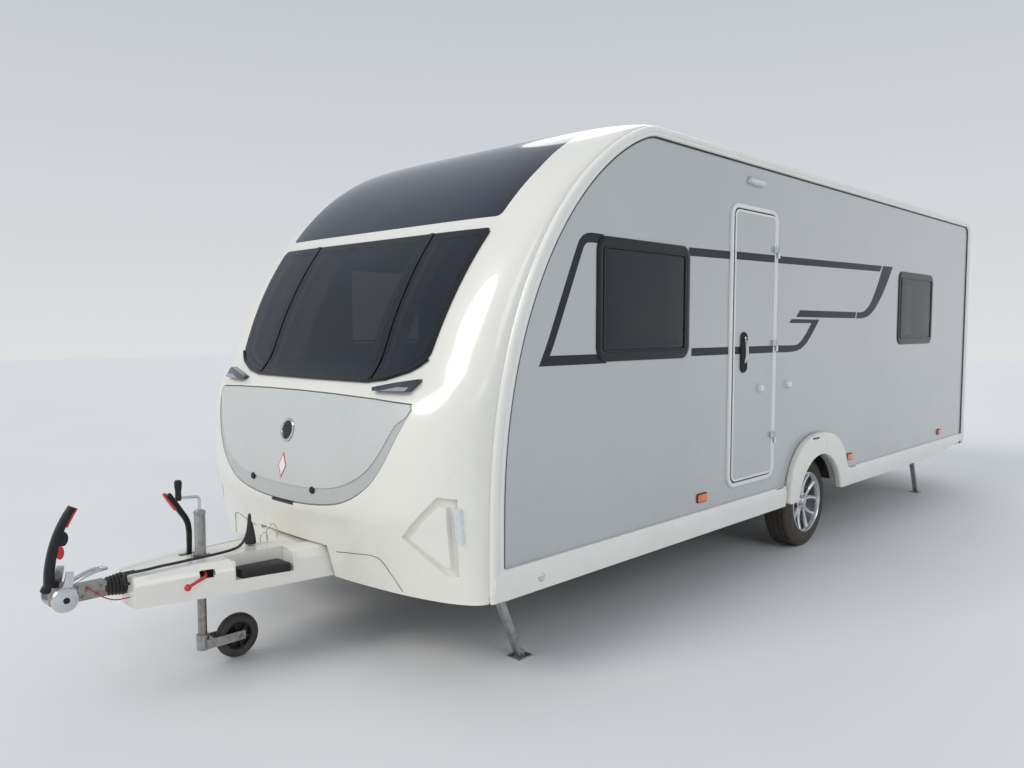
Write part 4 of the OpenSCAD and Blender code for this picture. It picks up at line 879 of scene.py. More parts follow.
def build_stripes():
    """Slate stripes round the front side window and along the body, split where they cross the door."""
    wall_y, leaf_y = HALF_W + 0.0003, HALF_W + 0.0142
    front = (curve([(2.405, 1.976), (2.52, 1.974), (2.578, 1.946), (2.612, 1.89), (2.70, 1.70), (2.80, 1.48),
                    (2.862, 1.362)]) + [(2.380, 1.362), (2.380, 1.408)]
             + curve([(2.790, 1.408), (2.752, 1.48), (2.655, 1.69), (2.568, 1.88), (2.545, 1.917),
                      (2.510, 1.930), (2.405, 1.931)]))
    swoop = (curve([(-1.150, 2.018), (-1.07, 1.90), (-0.99, 1.80), (-0.90, 1.712), (-0.80, 1.662),
                    (-0.72, 1.650), (-0.660, 1.650)])
             + curve([(-0.645, 1.604), (-0.72, 1.604), (-0.85, 1.618), (-0.98, 1.668), (-1.12, 1.768),
                      (-1.25, 1.895), (-1.355, 2.021)]))
    swoop_end = [(-0.640, 1.650), (0.295, 1.650), (0.350, 1.604), (-0.625, 1.604)]
    upper_rear = [(0.646, 1.940), (-1.085, 1.971), (-1.128, 2.017), (0.646, 1.985)]
    lower_rear = (curve([(0.646, 1.378), (0.44, 1.376), (0.30, 1.388), (0.19, 1.430), (0.09, 1.505),
                         (-0.005, 1.590)])
                  + [(0.415, 1.590), (0.450, 1.565), (0.118, 1.565)]
                  + curve([(0.20, 1.492), (0.29, 1.436), (0.38, 1.420), (0.646, 1.422)]))
    for side, tag in SIDES:
        shapes = [front, swoop, swoop_end, upper_rear, lower_rear]
        if side > 0:
            shapes += [[(1.66, 1.922), (1.2235, 1.930), (1.2235, 1.975), (1.66, 1.967)],
                       [(1.62, 1.378), (1.2235, 1.378), (1.2235, 1.422), (1.62, 1.422)]]
            leaf = [[(1.187, 1.931), (0.684, 1.939), (0.684, 1.984), (1.187, 1.976)],
                    [(1.187, 1.378), (0.684, 1.378), (0.684, 1.422), (1.187, 1.422)]]
            piece("door_stripes", *merge(*[decal(shape, leaf_y, 1) for shape in leaf]), DECAL, body="door")
        else:
            shapes += [[(1.66, 1.922), (0.646, 1.940), (0.646, 1.985), (1.66, 1.967)],
                       [(1.62, 1.378), (0.646, 1.378), (0.646, 1.422), (1.62, 1.422)]]
        piece(f"side_stripes_{tag}", *merge(*[decal(shape, wall_y, side) for shape in shapes]), DECAL)


# ---------------------------------------------------------------- side windows

FRONT_WINDOW = (1.650, 1.370, 2.460, 1.970)
REAR_WINDOW = (REAR_X + 1.015, 1.396, REAR_X + 1.855, 1.996)
KITCHEN_WINDOW = (-0.360, 1.480, 0.440, 1.996)


def frame_ring(outline, hole, y0, y1, side, chamfer=0.004):
    """A flat ring on the wall between two outlines of the same number of (x, z) points."""
    rings = []
    for a, b in zip(outline, hole):
        ring = []
        for share, out in ((0, y0), (0, y1 - chamfer), (0.2, y1), (0.8, y1), (1, y1 - chamfer), (1, y0)):
            x, z = (a[0] + (b[0] - a[0]) * share, a[1] + (b[1] - a[1]) * share)
            ring.append((x_at(x), side * out, z))
        rings.append(ring)
    return ring_mesh(rings, close_loop=True)


def domed_pane(box, r, inset, y, rise, side):
    """A pane that bulges a little, as a stack of shrinking outlines."""
    cx, cz = (box[0] + box[2]) / 2, (box[1] + box[3]) / 2
    outline = round_rect(*box, r, -inset)
    rings = []
    for share in (1.0, 0.985, 0.955, 0.90, 0.80, 0.60, 0.35, 0.10):
        height = rise * math.sqrt(max(0.0, 1 - share ** 4))
        rings.append([(x_at(cx + (x - cx) * share), side * (y + height), cz + (z - cz) * share)
                      for x, z in outline])
    back = [(x, side * (y - 0.004), z) for x, _, z in rings[0]]
    return ring_mesh([back] + rings)


def build_side_windows():
    for side, tag in SIDES:
        boxes = (FRONT_WINDOW, REAR_WINDOW) if side > 0 else (FRONT_WINDOW, KITCHEN_WINDOW, REAR_WINDOW)
        for i, box in enumerate(boxes):
            key = f"{tag}{i}"
            insets = (0, 0.052, 0.046, 0.056)
            outer, hole, bead_out, bead_in = [round_rect(*box, 0.07, -inset) for inset in insets]
            piece(f"window_border_{key}", *frame_ring(outer, hole, HALF_W + FIT, HALF_W + 0.0085, side), FRIT,
                  slot="tinted_pane", replaces=["side_windows"] if key == "l0" else (), sharp=60)
            bead = frame_ring(bead_out, bead_in, HALF_W + 0.004, HALF_W + 0.0115, side, 0.002)
            piece(f"window_bead_{key}", *bead, FRIT, sharp=60)
            piece(f"window_pane_{key}", *domed_pane(box, 0.07, 0.054, HALF_W + 0.004, 0.007, side), TINT,
                  slot="tinted_pane")
            # The lower frame rail behind the pane.
            rail = block((x_at(box[0] + 0.07), HALF_W - 0.020, box[1] + 0.068),
                         (x_at(box[2] - 0.07), HALF_W - 0.008, box[1] + 0.082), 0.003)
            piece(f"window_rail_{key}", *(rail if side > 0 else mirrored(rail)), BLACK)


def pleated(x0, x1, y, z0, z1, pleats, depth, side):
    """Rows of points of a gathered curtain beside a wall."""
    rows = []
    for v in np.linspace(0, 1, 15):
        gather = 1 - 0.06 * math.sin(math.pi * v)
        row = []
        for s in np.linspace(0, 1, pleats * 10 + 1):
            x = (x0 + x1) / 2 + (s - 0.5) * (x1 - x0) * gather
            wave = depth * math.sin(2 * math.pi * pleats * s + 0.6 * math.sin(3 * v + s * 5))
            row.append((x_at(x), side * (y + wave), z0 + (z1 - z0) * v))
        rows.append(row)
    return rows


def hang(name, rows, replaces=()):
    """A curtain from rows of points."""
    cols = len(rows[0])
    faces = [(k * cols + i, k * cols + i + 1, (k + 1) * cols + i + 1, (k + 1) * cols + i)
             for k in range(len(rows) - 1) for i in range(cols - 1)]
    made = piece(name, [v for row in rows for v in row], faces, CLOTH, sharp=80)
    if replaces:
        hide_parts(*replaces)


def build_curtains():
    for side, tag in SIDES:
        for i, box in enumerate((FRONT_WINDOW, REAR_WINDOW)):
            for j, x in enumerate((box[0] + 0.04, box[2] - 0.04)):
                rows = pleated(x - 0.092, x + 0.092, HALF_W - WALL - 0.0235, box[1] - 0.02, box[1] + 0.62, 6,
                               0.016, side)
                name = f"curtain_{tag}{i}{j}"
                hang(name, rows, ["window_curtains"] if name == "curtain_l00" else ())
    # Pleats beside the front panes hang along the nose's slope.
    for i, (y, w) in enumerate(((0.80, 0.05), (0.555, 0.045), (0.40, 0.06), (-0.40, 0.06), (-0.555, 0.045),
                                (-0.80, 0.05))):
        rows = [[tuple(surface_at(y * (0.93 + 0.07 * v) + (s - 0.5) * 2 * w, 1.375 + (1.93 - 1.375) * v,
                                  -0.065 + 0.012 * math.sin(8 * math.pi * s))) for s in np.linspace(0, 1, 41)]
                for v in np.linspace(0, 1, 14)]
        hang(f"front_curtain_{i}", rows)


def door_ring(outset, inset, y0, y1, chamfer):
    """A ring round the door, between two insets from its opening."""
    return frame_ring(round_rect(*DOOR, DOOR_R, -outset, n=12), round_rect(*DOOR, DOOR_R, -inset, n=12), y0,
                      y1, 1,
                      chamfer)


# ---------------------------------------------------------------- entrance door

DOOR = (0.647, 0.583, 1.224, 2.259)
DOOR_R = 0.08
LEAF_FACE = HALF_W + 0.014


def build_door():
    cad("entrance_door", SILVER)
    rim = door_ring(0, 0.0285, HALF_W + FIT, HALF_W + 0.0145, 0.005)
    lining = door_ring(0.0135, 0.030, HALF_W - WALL, HALF_W + 0.001, 0.001)
    piece("door_frame_trim", *merge(rim, lining), WHITE, slot="white_frame", replaces=["door_frame"],
          sharp=60)
    gasket = door_ring(0.029, 0.0335, HALF_W - 0.006, HALF_W + 0.0125, 0.001)
    piece("door_gasket", *gasket, SEAL, sharp=60)
    leaf_edge = door_ring(0.0362, 0.050, LEAF_FACE - 0.003, LEAF_FACE + 0.0035, 0.002)
    piece("door_leaf_trim", *leaf_edge, WHITE, body="door", sharp=60)
    # The frame's halves of the hinges; the leaf carries its own.
    hinge_x, hinge_y = x_at(DOOR[0] + 0.018), HALF_W + 0.024
    barrel = [(0.0, 0.0), (0.0075, 0.0), (0.009, 0.0015), (0.009, 0.0335), (0.0075, 0.035), (0.0, 0.035)]
    fixed = []
    for z in (DOOR[1] + 0.26, (DOOR[1] + DOOR[3]) / 2, DOOR[3] - 0.26):
        fixed.append(turned(barrel, (hinge_x, hinge_y, z - 0.035), "Z", 24))
        fixed.append(block((hinge_x - 0.0085, HALF_W + 0.010, z - 0.033), (hinge_x + 0.001, hinge_y,
                                                                           z - 0.002),
                           0.001))
    piece("door_hinges_fixed", *merge(*fixed), WHITE)
    # Lock plate: a long oval dish with a bright lever.
    x0, z0, x1, z1 = DOOR[0] + 0.387, DOOR[1] + 0.683, DOOR[0] + 0.462, DOOR[1] + 0.926
    plate = rect_stack((x0, z0, x1, z1), 0.0370, LEAF_FACE, (
        (0, 0.0), (0, 0.006), (-0.004, 0.011), (-0.010, 0.013), (-0.014, 0.010), (-0.018, 0.006)))
    piece("door_lock_plate", *plate, BLACK, body="door", replaces=["door_handle"], slot="black_plastic",
          sharp=50)
    xm = (x0 + x1) / 2
    lever = path_at(xm - 0.004, [(0, LEAF_FACE + out, z0 + z) for out, z in (
        (0.010, 0.060), (0.024, 0.085), (0.026, 0.130), (0.022, 0.175), (0.009, 0.195))], 5)
    section = [(-0.011, -0.004), (0.011, -0.004), (0.009, 0.004), (-0.009, 0.004)]
    piece("door_lever", *sweep(lever, section, side=(1, 0, 0)), CHROME, body="door", sharp=50)
    key = [(0.0, 0.0), (0.009, 0.0), (0.009, 0.011), (0.007, 0.013), (0.0, 0.012)]
    piece("door_key_barrel", *turned(key, (x_at(xm), LEAF_FACE + 0.004, z1 - 0.036), "Y", 24), CHROME,
          body="door")
    knob = [(0.0, 0.0), (0.024, 0.0), (0.024, 0.012), (0.021, 0.022), (0.012, 0.029), (0.0, 0.031)]
    piece("door_catch", *turned(knob, (x_at(0.864), LEAF_FACE, 1.164), "Y", 32), WHITE, body="door")
    piece("wall_catch", *turned(knob, (x_at(0.462), HALF_W, 1.167), "Y", 32), WHITE)


def build_side_lamps():
    lamps, lenses = [], []
    for x in (1.493, -0.582, REAR_X + 0.708):
        lamps.append(rect_stack((x - 0.052, 0.548, x + 0.052, 0.600), 0.010, HALF_W, ((0, FIT), (0, 0.006))))
        lenses.append(rect_stack((x - 0.047, 0.553, x + 0.047, 0.595), 0.009, HALF_W,
                                 ((0, 0.004), (0, 0.010), (-0.002, 0.013), (-0.006, 0.0145))))
    piece("marker_lamp_bases", *both(merge(*lamps)), BLACK)
    piece("marker_lamps", *both(merge(*lenses)), AMBER, slot="lens", sharp=50)
    awning = (DOOR[0] + 0.195, ROOF_H - 0.166, DOOR[0] + 0.387, ROOF_H - 0.126)
    body = rect_stack(awning, 0.0195, HALF_W, ((0.004, FIT), (0.004, 0.012), (0.0, 0.018), (-0.006, 0.018)))
    piece("awning_lamp_body", *body, ALLOY, sharp=50)
    lens = rect_stack(awning, 0.0195, HALF_W,
                      ((-0.006, 0.016), (-0.007, 0.022), (-0.011, 0.026), (-0.016, 0.028)))
    piece("awning_lamp_lens", *lens, CLEAR_LENS, sharp=50)
    outline = round_rect(1.040, 0.640, 1.060, 0.788, 0.008)
    for side, tag in SIDES:
        skin_piece(f"front_marker_{tag}", near_rows(NOSE_ROWS, 0.6, 0.85), 0.008, -0.013, CLEAR_LENS,
                   outline if side > 0 else flip(outline), across=60)


# ---------------------------------------------------------------- service doors on the far side


def build_service_doors():
    cad("service_boxes", LINER)
    for node, rect, body in (("cassette_door", (-1.5, 0.52, -1.18, 0.88), "cassette_flap"),
                             ("battery_door", (0.95, 0.52, 1.33, 0.83), "battery_flap")):
        x0, z0, x1, z1 = rect
        cad(node, SILVER, 0.0015)
        ring = frame_ring(round_rect(*rect, 0.03, -0.004), round_rect(*rect, 0.03, -0.020), HALF_W + 0.005,
                          HALF_W + 0.0095, -1, 0.001)
        piece(f"{node}_trim", *ring, WHITE, body=body, sharp=60)
        outer = frame_ring(round_rect(*rect, 0.03, 0.026), round_rect(*rect, 0.03, 0.0065), HALF_W + FIT,
                           HALF_W + 0.0050, -1, 0.001)
        surround = piece(f"{node}_surround", *outer, WHITE, body=None, sharp=60)
        # It's open below, where the flap swings down.
        below = block((x_at(x0) - 0.1, -HALF_W - 0.1, z0 - 0.1), (x_at(x1) + 0.1, -1.0, z0 + 0.03))
        mount(cut(surround, cutter(below), sharp=60))
        lock = [(0.0, 0.0), (0.015, 0.0), (0.015, -0.004), (0.011, -0.007), (0.0, -0.007)]
        piece(f"{node}_lock", *turned(lock, (x_at((x0 + x1) / 2), -HALF_W - 0.006, z1 - 0.05), "Y", 28),
              BLACK,
              body=body)


# ---------------------------------------------------------------- wheels


def build_wheel(side):
    tag, body = ("left", "wheel_left") if side > 0 else ("right", "wheel_right")
    centre = (AXLE_X, side * WHEEL_Y, WHEEL_R)
    half, rim = TYRE_W / 2, 0.205
    # The tyre's section from bead to bead, with four grooves in the tread.
    profile = [(rim + 0.0005, half - 0.022), (rim + 0.004, half - 0.010), (rim + 0.010, half - 0.006)]
    profile += [(rim + 0.020, half - 0.0035), (rim + 0.032, half - 0.0005), (rim + 0.046, half - 0.0005),
                (rim + 0.062, half - 0.003), (rim + 0.078, half - 0.009), (rim + 0.090, half - 0.016),
                (WHEEL_R - 0.0068, half - 0.0235), (WHEEL_R - 0.003, half - 0.029)]
    shoulder = half - 0.033
    grooves = [0.055, 0.020, -0.020, -0.055]
    tread = [(WHEEL_R - 0.0012, shoulder)]
    for g in grooves:
        tread += [(WHEEL_R - 0.0003, g + 0.0062), (WHEEL_R - 0.0075, g + 0.0042), (WHEEL_R - 0.0075,
                                                                                   g - 0.0042),
                  (WHEEL_R - 0.0003, g - 0.0062)]
    tread += [(WHEEL_R - 0.0012, -shoulder)]
    profile = profile + tread + [(r, -w) for r, w in profile[::-1]]
    n = 180
    verts, faces = revolve(profile, (0, 0, 0), "Y", n)
    # Sipes cut across the ribs, turned a little from rib to rib.
    m = len(profile)
    shaped = []
    for k in range(n):
        for j in range(m):
            x, y, z = verts[k * m + j]
            r = profile[j][0]
            rib = int((profile[j][1] + 0.1) / 0.0375)
            if r > WHEEL_R - 0.0035 and (k + rib * 2) % 5 == 0:
                f = (r - 0.0055) / r
                x, z = x * f, z * f
            shaped.append((centre[0] + x, centre[1] + side * y, centre[2] + z))
    piece(f"tyre_tread_{tag}", shaped, faces, TYRE, body, "tyre_rubber", [f"tyre_{tag}"], sharp=40)

    def out(points):
        return [(r, side * h) for r, h in points]
    barrel = [(rim - 0.011, -half + 0.014), (rim - 0.001, -half + 0.014), (rim - 0.0008, half - 0.020),
              (rim + 0.004, half - 0.0095), (rim + 0.006, half - 0.006), (rim + 0.004, half - 0.0025),
              (rim - 0.002, half - 0.0015), (rim - 0.006, half - 0.006), (rim - 0.010, half - 0.016),
              (rim - 0.013, half - 0.040)]
    piece(f"rim_barrel_{tag}", *revolve(out(barrel), centre, "Y", 96), ALLOY, body, "alloy",
          [f"wheel_rim_{tag}"], sharp=40)
    # Five pairs of tapered spokes with a crowned face.
    spokes = []
    for i in range(5):
        for twin in (-1, 1):
            a0 = math.radians(90 + 72 * i + 8 * twin)
            a1 = math.radians(90 + 72 * i + 20 * twin)
            rings = []
            for s in np.linspace(0, 1, 9):
                a = a0 + (a1 - a0) * s ** 1.2
                r = 0.045 + (rim - 0.052) * s
                w = 0.0195 - 0.0075 * s + 0.004 * s ** 6
                face = half - 0.036 + 0.020 * s - 0.010 * math.sin(math.pi * s)
                deep = face - 0.020
                radial = np.array((math.cos(a), 0, math.sin(a)))
                across = np.array((-math.sin(a), 0, math.cos(a)))
                at = np.array(centre) + radial * r
                ring = []
                for u, h in ((-1, deep), (-0.85, face - 0.006), (-0.45, face), (0.0, face - 0.002), (0.45,
                                                                                                     face),
                             (0.85, face - 0.006), (1, deep)):
                    ring.append(at + across * w * u + np.array((0, side * h, 0)))
                rings.append(ring)
            spokes.append(ring_mesh(rings))
    piece(f"rim_spokes_{tag}", *merge(*spokes), ALLOY, body, "alloy", sharp=35)
    hub = [(0.0, half - 0.060), (0.066, half - 0.060), (0.068, half - 0.046), (0.060, half - 0.036),
           (0.034, half - 0.034), (0.033, half - 0.028), (0.028, half - 0.023), (0.0, half - 0.021)]
    piece(f"rim_hub_{tag}", *revolve(out(hub), centre, "Y", 60, closed=False), ALLOY, body, "alloy", sharp=40)
    bolts = []
    for i in range(5):
        a = math.radians(90 + 36 + 72 * i)
        at = (centre[0] + 0.049 * math.cos(a), centre[1] + side * (half - 0.040),
              centre[2] + 0.049 * math.sin(a))
        bolts.append(revolve(out([(0.0, 0.0), (0.0085, 0.0), (0.0085, 0.009), (0.006, 0.011), (0.0,
                                                                                               0.011)]), at,
                             "Y", 6, closed=False))
    piece(f"rim_bolts_{tag}", *merge(*bolts), STEEL, body, sharp=30)
    # A dark alloy ring behind the spokes stands in for the shade inside the wheel: painted shade.
    ring = [(0.045, half - 0.063), (0.150, half - 0.075), (rim - 0.012, half - 0.090), (rim - 0.012,
                                                                                        half - 0.096),
            (0.150, half - 0.082), (0.045, half - 0.070)]
    piece(f"rim_painted_shade_{tag}", *revolve(out(ring), centre, "Y", 72), ALLOY_PAINTED_SHADE, body, sharp=40)


# ---------------------------------------------------------------- chassis and steadies


def build_chassis():
    for node in ("chassis_rails", "drawbar_arms", "cross_members", "axle_beam"):
        cad(node, ZINC, 0.002)
    cad("suspension_arms", IRON, 0.003)
    cad("floor_panel", UNDERBODY)
    cad("gas_locker", LINER)
    cad("side_wall_left", SILVER)
    cad("side_wall_right", SILVER)
    cad("steady_brackets", ZINC, 0.0015)
    for node, body in (("steady_front_left", "steady_fl"), ("steady_front_right", "steady_fr"),
                       ("steady_rear_left", "steady_rl"), ("steady_rear_right", "steady_rr")):
        cad(node, ZINC, 0.002)
        low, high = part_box(node)
        y = (low.y + high.y) / 2
        pivot = np.array((high.x - 0.018, y, 0.33))
        foot = np.array((low.x + 0.045, y, 0.03))
        screw = [pivot + (foot - pivot) * s + np.array((-0.012, 0, 0.004))
                 for s in np.linspace(0.18, 0.80, 60)]
        radii = [0.0075 + 0.0012 * (i % 2) for i in range(60)]
        rings = []
        for at, r in zip(screw, radii):
            rings.append([at + np.array((math.cos(a) * r, math.sin(a) * r, 0))
                          for a in np.linspace(0, 2 * math.pi, 13)[:-1]])
        piece(f"{node}_screw", *ring_mesh(rings), STEEL, body=body, sharp=60)


# ---------------------------------------------------------------- drawbar

COVER_TOP, COVER_LOW = 0.520, 0.372
COVER_FRONT, COVER_REAR = FRONT_X + 1.07, FRONT_X + 0.20
JOCKEY_X = FRONT_X + 0.735
SHAFT_Z = 0.462
HITCH_X = FRONT_X + 1.39
BALL_X, BALL_Z = HITCH_X - 0.073, 0.452
COVER_SECTIONS = [(COVER_REAR, 0.292, 0.262, COVER_TOP), (FRONT_X + 0.64, 0.222, 0.190, COVER_TOP),
                  (FRONT_X + 0.83, 0.172, 0.140, 0.518), (COVER_FRONT - 0.012, 0.113, 0.088, 0.5085),
                  (COVER_FRONT - 0.003, 0.110, 0.084, 0.505), (COVER_FRONT, 0.104, 0.078, 0.499)]


def cover_section(x, foot, top, height, t=0.0):
    """Half of the drawbar cover's section from its foot to the middle, with a rounded shoulder."""
    low = COVER_LOW - (0.012 if t else 0.0)
    half = [(foot - t, low), (foot - t + 0.001, COVER_LOW + 0.03), (foot - t, height - 0.052)]
    corner = [(foot - t - 0.002, height - 0.040), (foot - t - 0.012, height - 0.026),
              (top - t + 0.008, height - t - 0.008), (top - t - 0.006, height - t - 0.001)]
    half += corner + [(top * 0.62, height - t), (top * 0.56, height - t - 0.006), (top * 0.30,
                                                                                   height - t - 0.007)]
    ring = half + [(-y, z) for y, z in half[::-1]]
    return [(x_at(x), y, z) for y, z in ring]


def build_drawbar_cover():
    outer = ring_mesh([cover_section(*s) for s in COVER_SECTIONS])
    shell = piece("drawbar_cover_shell", *outer, CREAM, body=None, sharp=30)
    inner = [(COVER_REAR - 0.02, 0.292, 0.262, COVER_TOP)] + COVER_SECTIONS[1:3] + [
        (COVER_FRONT - 0.010, 0.113, 0.088, 0.5085)]
    cut(shell, cutter(ring_mesh([cover_section(*s, t=0.006) for s in inner])), sharp=30)
    cut(shell, cutter(revolve([(0.0, 0.40), (0.042, 0.40), (0.042, 0.70), (0.0, 0.70)],
                              (x_at(JOCKEY_X), 0, 0), "Z", 40, closed=False)))
    cut(shell, cutter(block((x_at(JOCKEY_X) - 0.01, -0.086, 0.4), (x_at(JOCKEY_X) + 0.07, -0.046, 0.7),
                            0.012)))
    slot = [(x_at(x), z) for x, z in round_rect(JOCKEY_X + 0.022, 0.458, JOCKEY_X + 0.085, 0.492, 0.008)]
    cut(shell, cutter(prism(slot, "Y", 0.11, 0.24)))
    cut(shell, cutter(revolve([(0.0, -0.05), (0.045, -0.05), (0.045, 0.05), (0.0, 0.05)],
                              (x_at(COVER_FRONT), 0, SHAFT_Z), "X", 48, closed=False)))
    # A recess on each side holds a step pad.
    recess = [(0.405, 0.135), (0.690, 0.105), (0.672, 0.300), (0.425, 0.300)]
    for side, _ in SIDES:
        hole = [(x_at(FRONT_X + x), side * y) for x, y in recess]
        cut(shell, cutter(prism(hole, "Z", 0.4305, 0.6)), sharp=30)
    for side, tag in SIDES:
        outline = [(FRONT_X + 0.401, 0.132), (FRONT_X + 0.694, 0.102), (FRONT_X + 0.676, 0.206),
                   (FRONT_X + 0.421, 0.268)]
        tray = [[(x_at(x), side * y, z) for x, y in outline] for z in (0.424, 0.4304)]
        piece(f"step_recess_floor_{tag}", *ring_mesh(tray), CREAM)
        for k, (a, b) in enumerate(((0, 1), (1, 2), (3, 0))):
            p, q = np.array(outline[a]), np.array(outline[b])
            d = (q - p) / np.linalg.norm(q - p)
            n = np.array((-d[1], d[0])) * 0.003
            quad = [p - n, q - n, q + n, p + n]
            lift = 0.5185 if k < 1 else 0.512
            wall = [[(x_at(v[0]), side * v[1], z) for v in quad] for z in (0.428, lift)]
            piece(f"step_recess_side_{tag}{k}", *ring_mesh(wall), CREAM)
        pad = [(FRONT_X + 0.436, 0.150), (FRONT_X + 0.650, 0.128), (FRONT_X + 0.648, 0.208),
               (FRONT_X + 0.640, 0.214),
               (FRONT_X + 0.442, 0.262), (FRONT_X + 0.434, 0.258)]
        rings = []
        for grow, z in ((0, 0.431), (0, 0.462), (-0.003, 0.468), (-0.010, 0.470)):
            rings.append([(x_at(x), side * y, z) for x, y in offset(pad, grow)])
        piece(f"step_pad_{tag}", *ring_mesh(rings), BLACK, sharp=35)
    soften(shell, 0.003, 2, 40)
    bake_modifiers(shell)
    mount(shell, replaces=["drawbar_cover"])
    # Two wire loops stand behind the plug.
    loops = []
    for x, y, top, half in ((FRONT_X + 0.439, 0.030, 0.568, 0.017), (FRONT_X + 0.375, -0.010, 0.590, 0.026)):
        bend = smooth_path([(x_at(x) + half, y, 0.5195), (x_at(x) + half * 1.1, y, (0.52 + top) / 2),
                            (x_at(x) + half * 0.6, y, top - 0.004), (x_at(x), y, top),
                            (x_at(x) - half * 0.6, y, top - 0.004), (x_at(x) - half * 1.1, y,
                                                                     (0.52 + top) / 2),
                            (x_at(x) - half, y, 0.5195)], 5)
        loops.append(sweep(bend, circle(0.0028, 8)))
    piece("cover_wire_loops", *merge(*loops), CHROME, sharp=60)
    # Valance seams beside the drawbar.
    seam = ((0.37, 0.505), (0.50, 0.520), (0.64, 0.525), (0.70, 0.46), (0.75, 0.385))
    for side, tag in SIDES:
        line = smooth_path([surface_at(side * y, z, 0.0003) for y, z in seam], 5)
        piece(f"valance_seam_{tag}", *sweep(line, circle(0.0016, 6), side=(0, 0, 1)), SEAL)


def build_hitch():
    cad("overrun_housing", IRON, 0.004)
    cad("coupling_head", STEEL, 0.003)
    cad("jockey_clamp", IRON, 0.003)
    # Bellows: rounded ribs that shrink forwards.
    profile = [(0.0275, -0.004), (0.0435, -0.004), (0.044, 0.003)]
    for i in range(5):
        peak, valley = 0.0475 - 0.002 * i, 0.037 - 0.0015 * i
        base = 0.004 + 0.014 * i
        profile += [(peak - 0.003, base + 0.002), (peak, base + 0.0045), (peak, base + 0.0065),
                    (peak - 0.003, base + 0.009), (valley, base + 0.0115), (valley, base + 0.013)]
    profile += [(0.0325, 0.076), (0.0325, 0.084), (0.0275, 0.084)]
    piece("bellows", *revolve(profile, (x_at(COVER_FRONT), 0, SHAFT_Z), "X", 64), RUBBER,
          replaces=["shaft_gaiter"], slot="black_rubber", sharp=60)
    bolts = []
    for x, z in ((-0.222, 0.475), (-0.205, 0.447), (-0.165, 0.475), (-0.150, 0.447)):
        for side, _ in SIDES:
            at = (x_at(HITCH_X + x), side * 0.029, z)
            for r, high, n in ((0.009, 0.006, 6), (0.0045, 0.011, 14)):
                bolts.append(turned([(0.0, 0.0), (r, 0.0), (r, side * high), (0.0, side * high)], at, "Y", n))
    piece("coupling_bolts", *merge(*bolts), STEEL, sharp=30)
    discs, hubs = [], []
    for side, _ in SIDES:
        at = (x_at(BALL_X), side * 0.0595, BALL_Z + 0.010)
        disc = [(0.0, 0.0), (0.050, 0.0), (0.052, 0.004), (0.047, 0.012), (0.030, 0.018), (0.0, 0.019)]
        hub = [(0.0, 0.014), (0.013, 0.014), (0.013, 0.0215), (0.0, 0.0215)]
        discs.append(turned([(r, side * h) for r, h in disc], at, "Y", 56))
        hubs.append(turned([(r, side * h) for r, h in hub], at, "Y", 8))
        arm = path_at(BALL_X, [(0.004, side * 0.064, BALL_Z + 0.030), (-0.014, side * 0.062, BALL_Z + 0.075),
                               (-0.022, side * 0.056, BALL_Z + 0.118)])
        discs.append(sweep(arm, lambda s: [(-0.004, -0.020 + 0.006 * s), (0.004, -0.020 + 0.006 * s),
                                           (0.004, 0.020 - 0.006 * s), (-0.004, 0.020 - 0.006 * s)]))
    piece("stabiliser_pad_caps", *merge(*discs), ALLOY, sharp=35)
    piece("stabiliser_pad_hubs", *merge(*hubs), BLACK)
    # Chrome lever of the coupling, over the shaft.
    lever = path_at(HITCH_X, [(-0.115, 0.020, 0.508), (-0.150, 0.022, 0.524), (-0.205, 0.020, 0.540),
                              (-0.245, 0.010, 0.541), (-0.252, -0.004, 0.540), (-0.240, -0.018, 0.540),
                              (-0.190, -0.022, 0.536), (-0.115, -0.020, 0.508)])
    piece("coupling_lever", *sweep(lever, circle(0.0065, 12), side=(0, 0, 1)), CHROME)
    # Stabiliser handle: a curved black grip, thick at its root, with a red edge and button.
    spine = path_at(HITCH_X, [(-0.036, 0, 0.515), (-0.038, 0, 0.570), (-0.050, 0, 0.640), (-0.072, 0, 0.710),
                              (-0.102, 0, 0.772), (-0.130, 0, 0.815)])
    grip = sweep(spine, lambda s: squircle(0.0200 - 0.003 * s, 0.0200 - 0.006 * s, 0.6))
    piece("stabiliser_grip", *grip, BLACK, replaces=["stabiliser_handle"], slot="black_plastic", sharp=50)
    root = []
    for s in np.linspace(0, 1, 9):
        r = 0.019 * math.sin(math.pi * s) ** 0.6 + 0.001
        root.append([(x_at(HITCH_X - 0.076) + 0.075 * s, r * 1.1 * c, 0.520 - 0.022 * s + r * 1.3 * d)
                     for c, d in circle(1.0, 20)])
    piece("stabiliser_root", *ring_mesh(root), BLACK, sharp=50)
    edge = path_at(HITCH_X, [(-0.102, 0, 0.738), (-0.122, 0, 0.775), (-0.143, 0, 0.809)])
    section = [(-0.013, -0.005), (0.013, -0.005), (0.010, 0.006), (-0.010, 0.006)]
    piece("stabiliser_red_edge", *sweep(edge, section), RED, sharp=50)
    turn = np.linspace(0, 2 * math.pi, 17)[:-1]
    latch = [[(x_at(HITCH_X - 0.088) + 0.022 * math.cos(a) * (0.6 + 0.4 * math.cos(lean)), 0.012 * share,
               0.694 + 0.030 * math.sin(a)) for a in turn]
             for lean, share in ((0.8, -1), (0, -0.6), (0, 0.6), (0.8, 1))]
    piece("stabiliser_latch", *ring_mesh(latch), BLACK, sharp=50)
    button = [[(x_at(HITCH_X - 0.076) + 0.016 * math.cos(a), 0.010 * share, 0.640 + 0.028 * math.sin(a))
               for a in turn] for share in (-1, -0.6, 0.6, 1)]
    piece("stabiliser_button", *ring_mesh(button), RED, sharp=50)
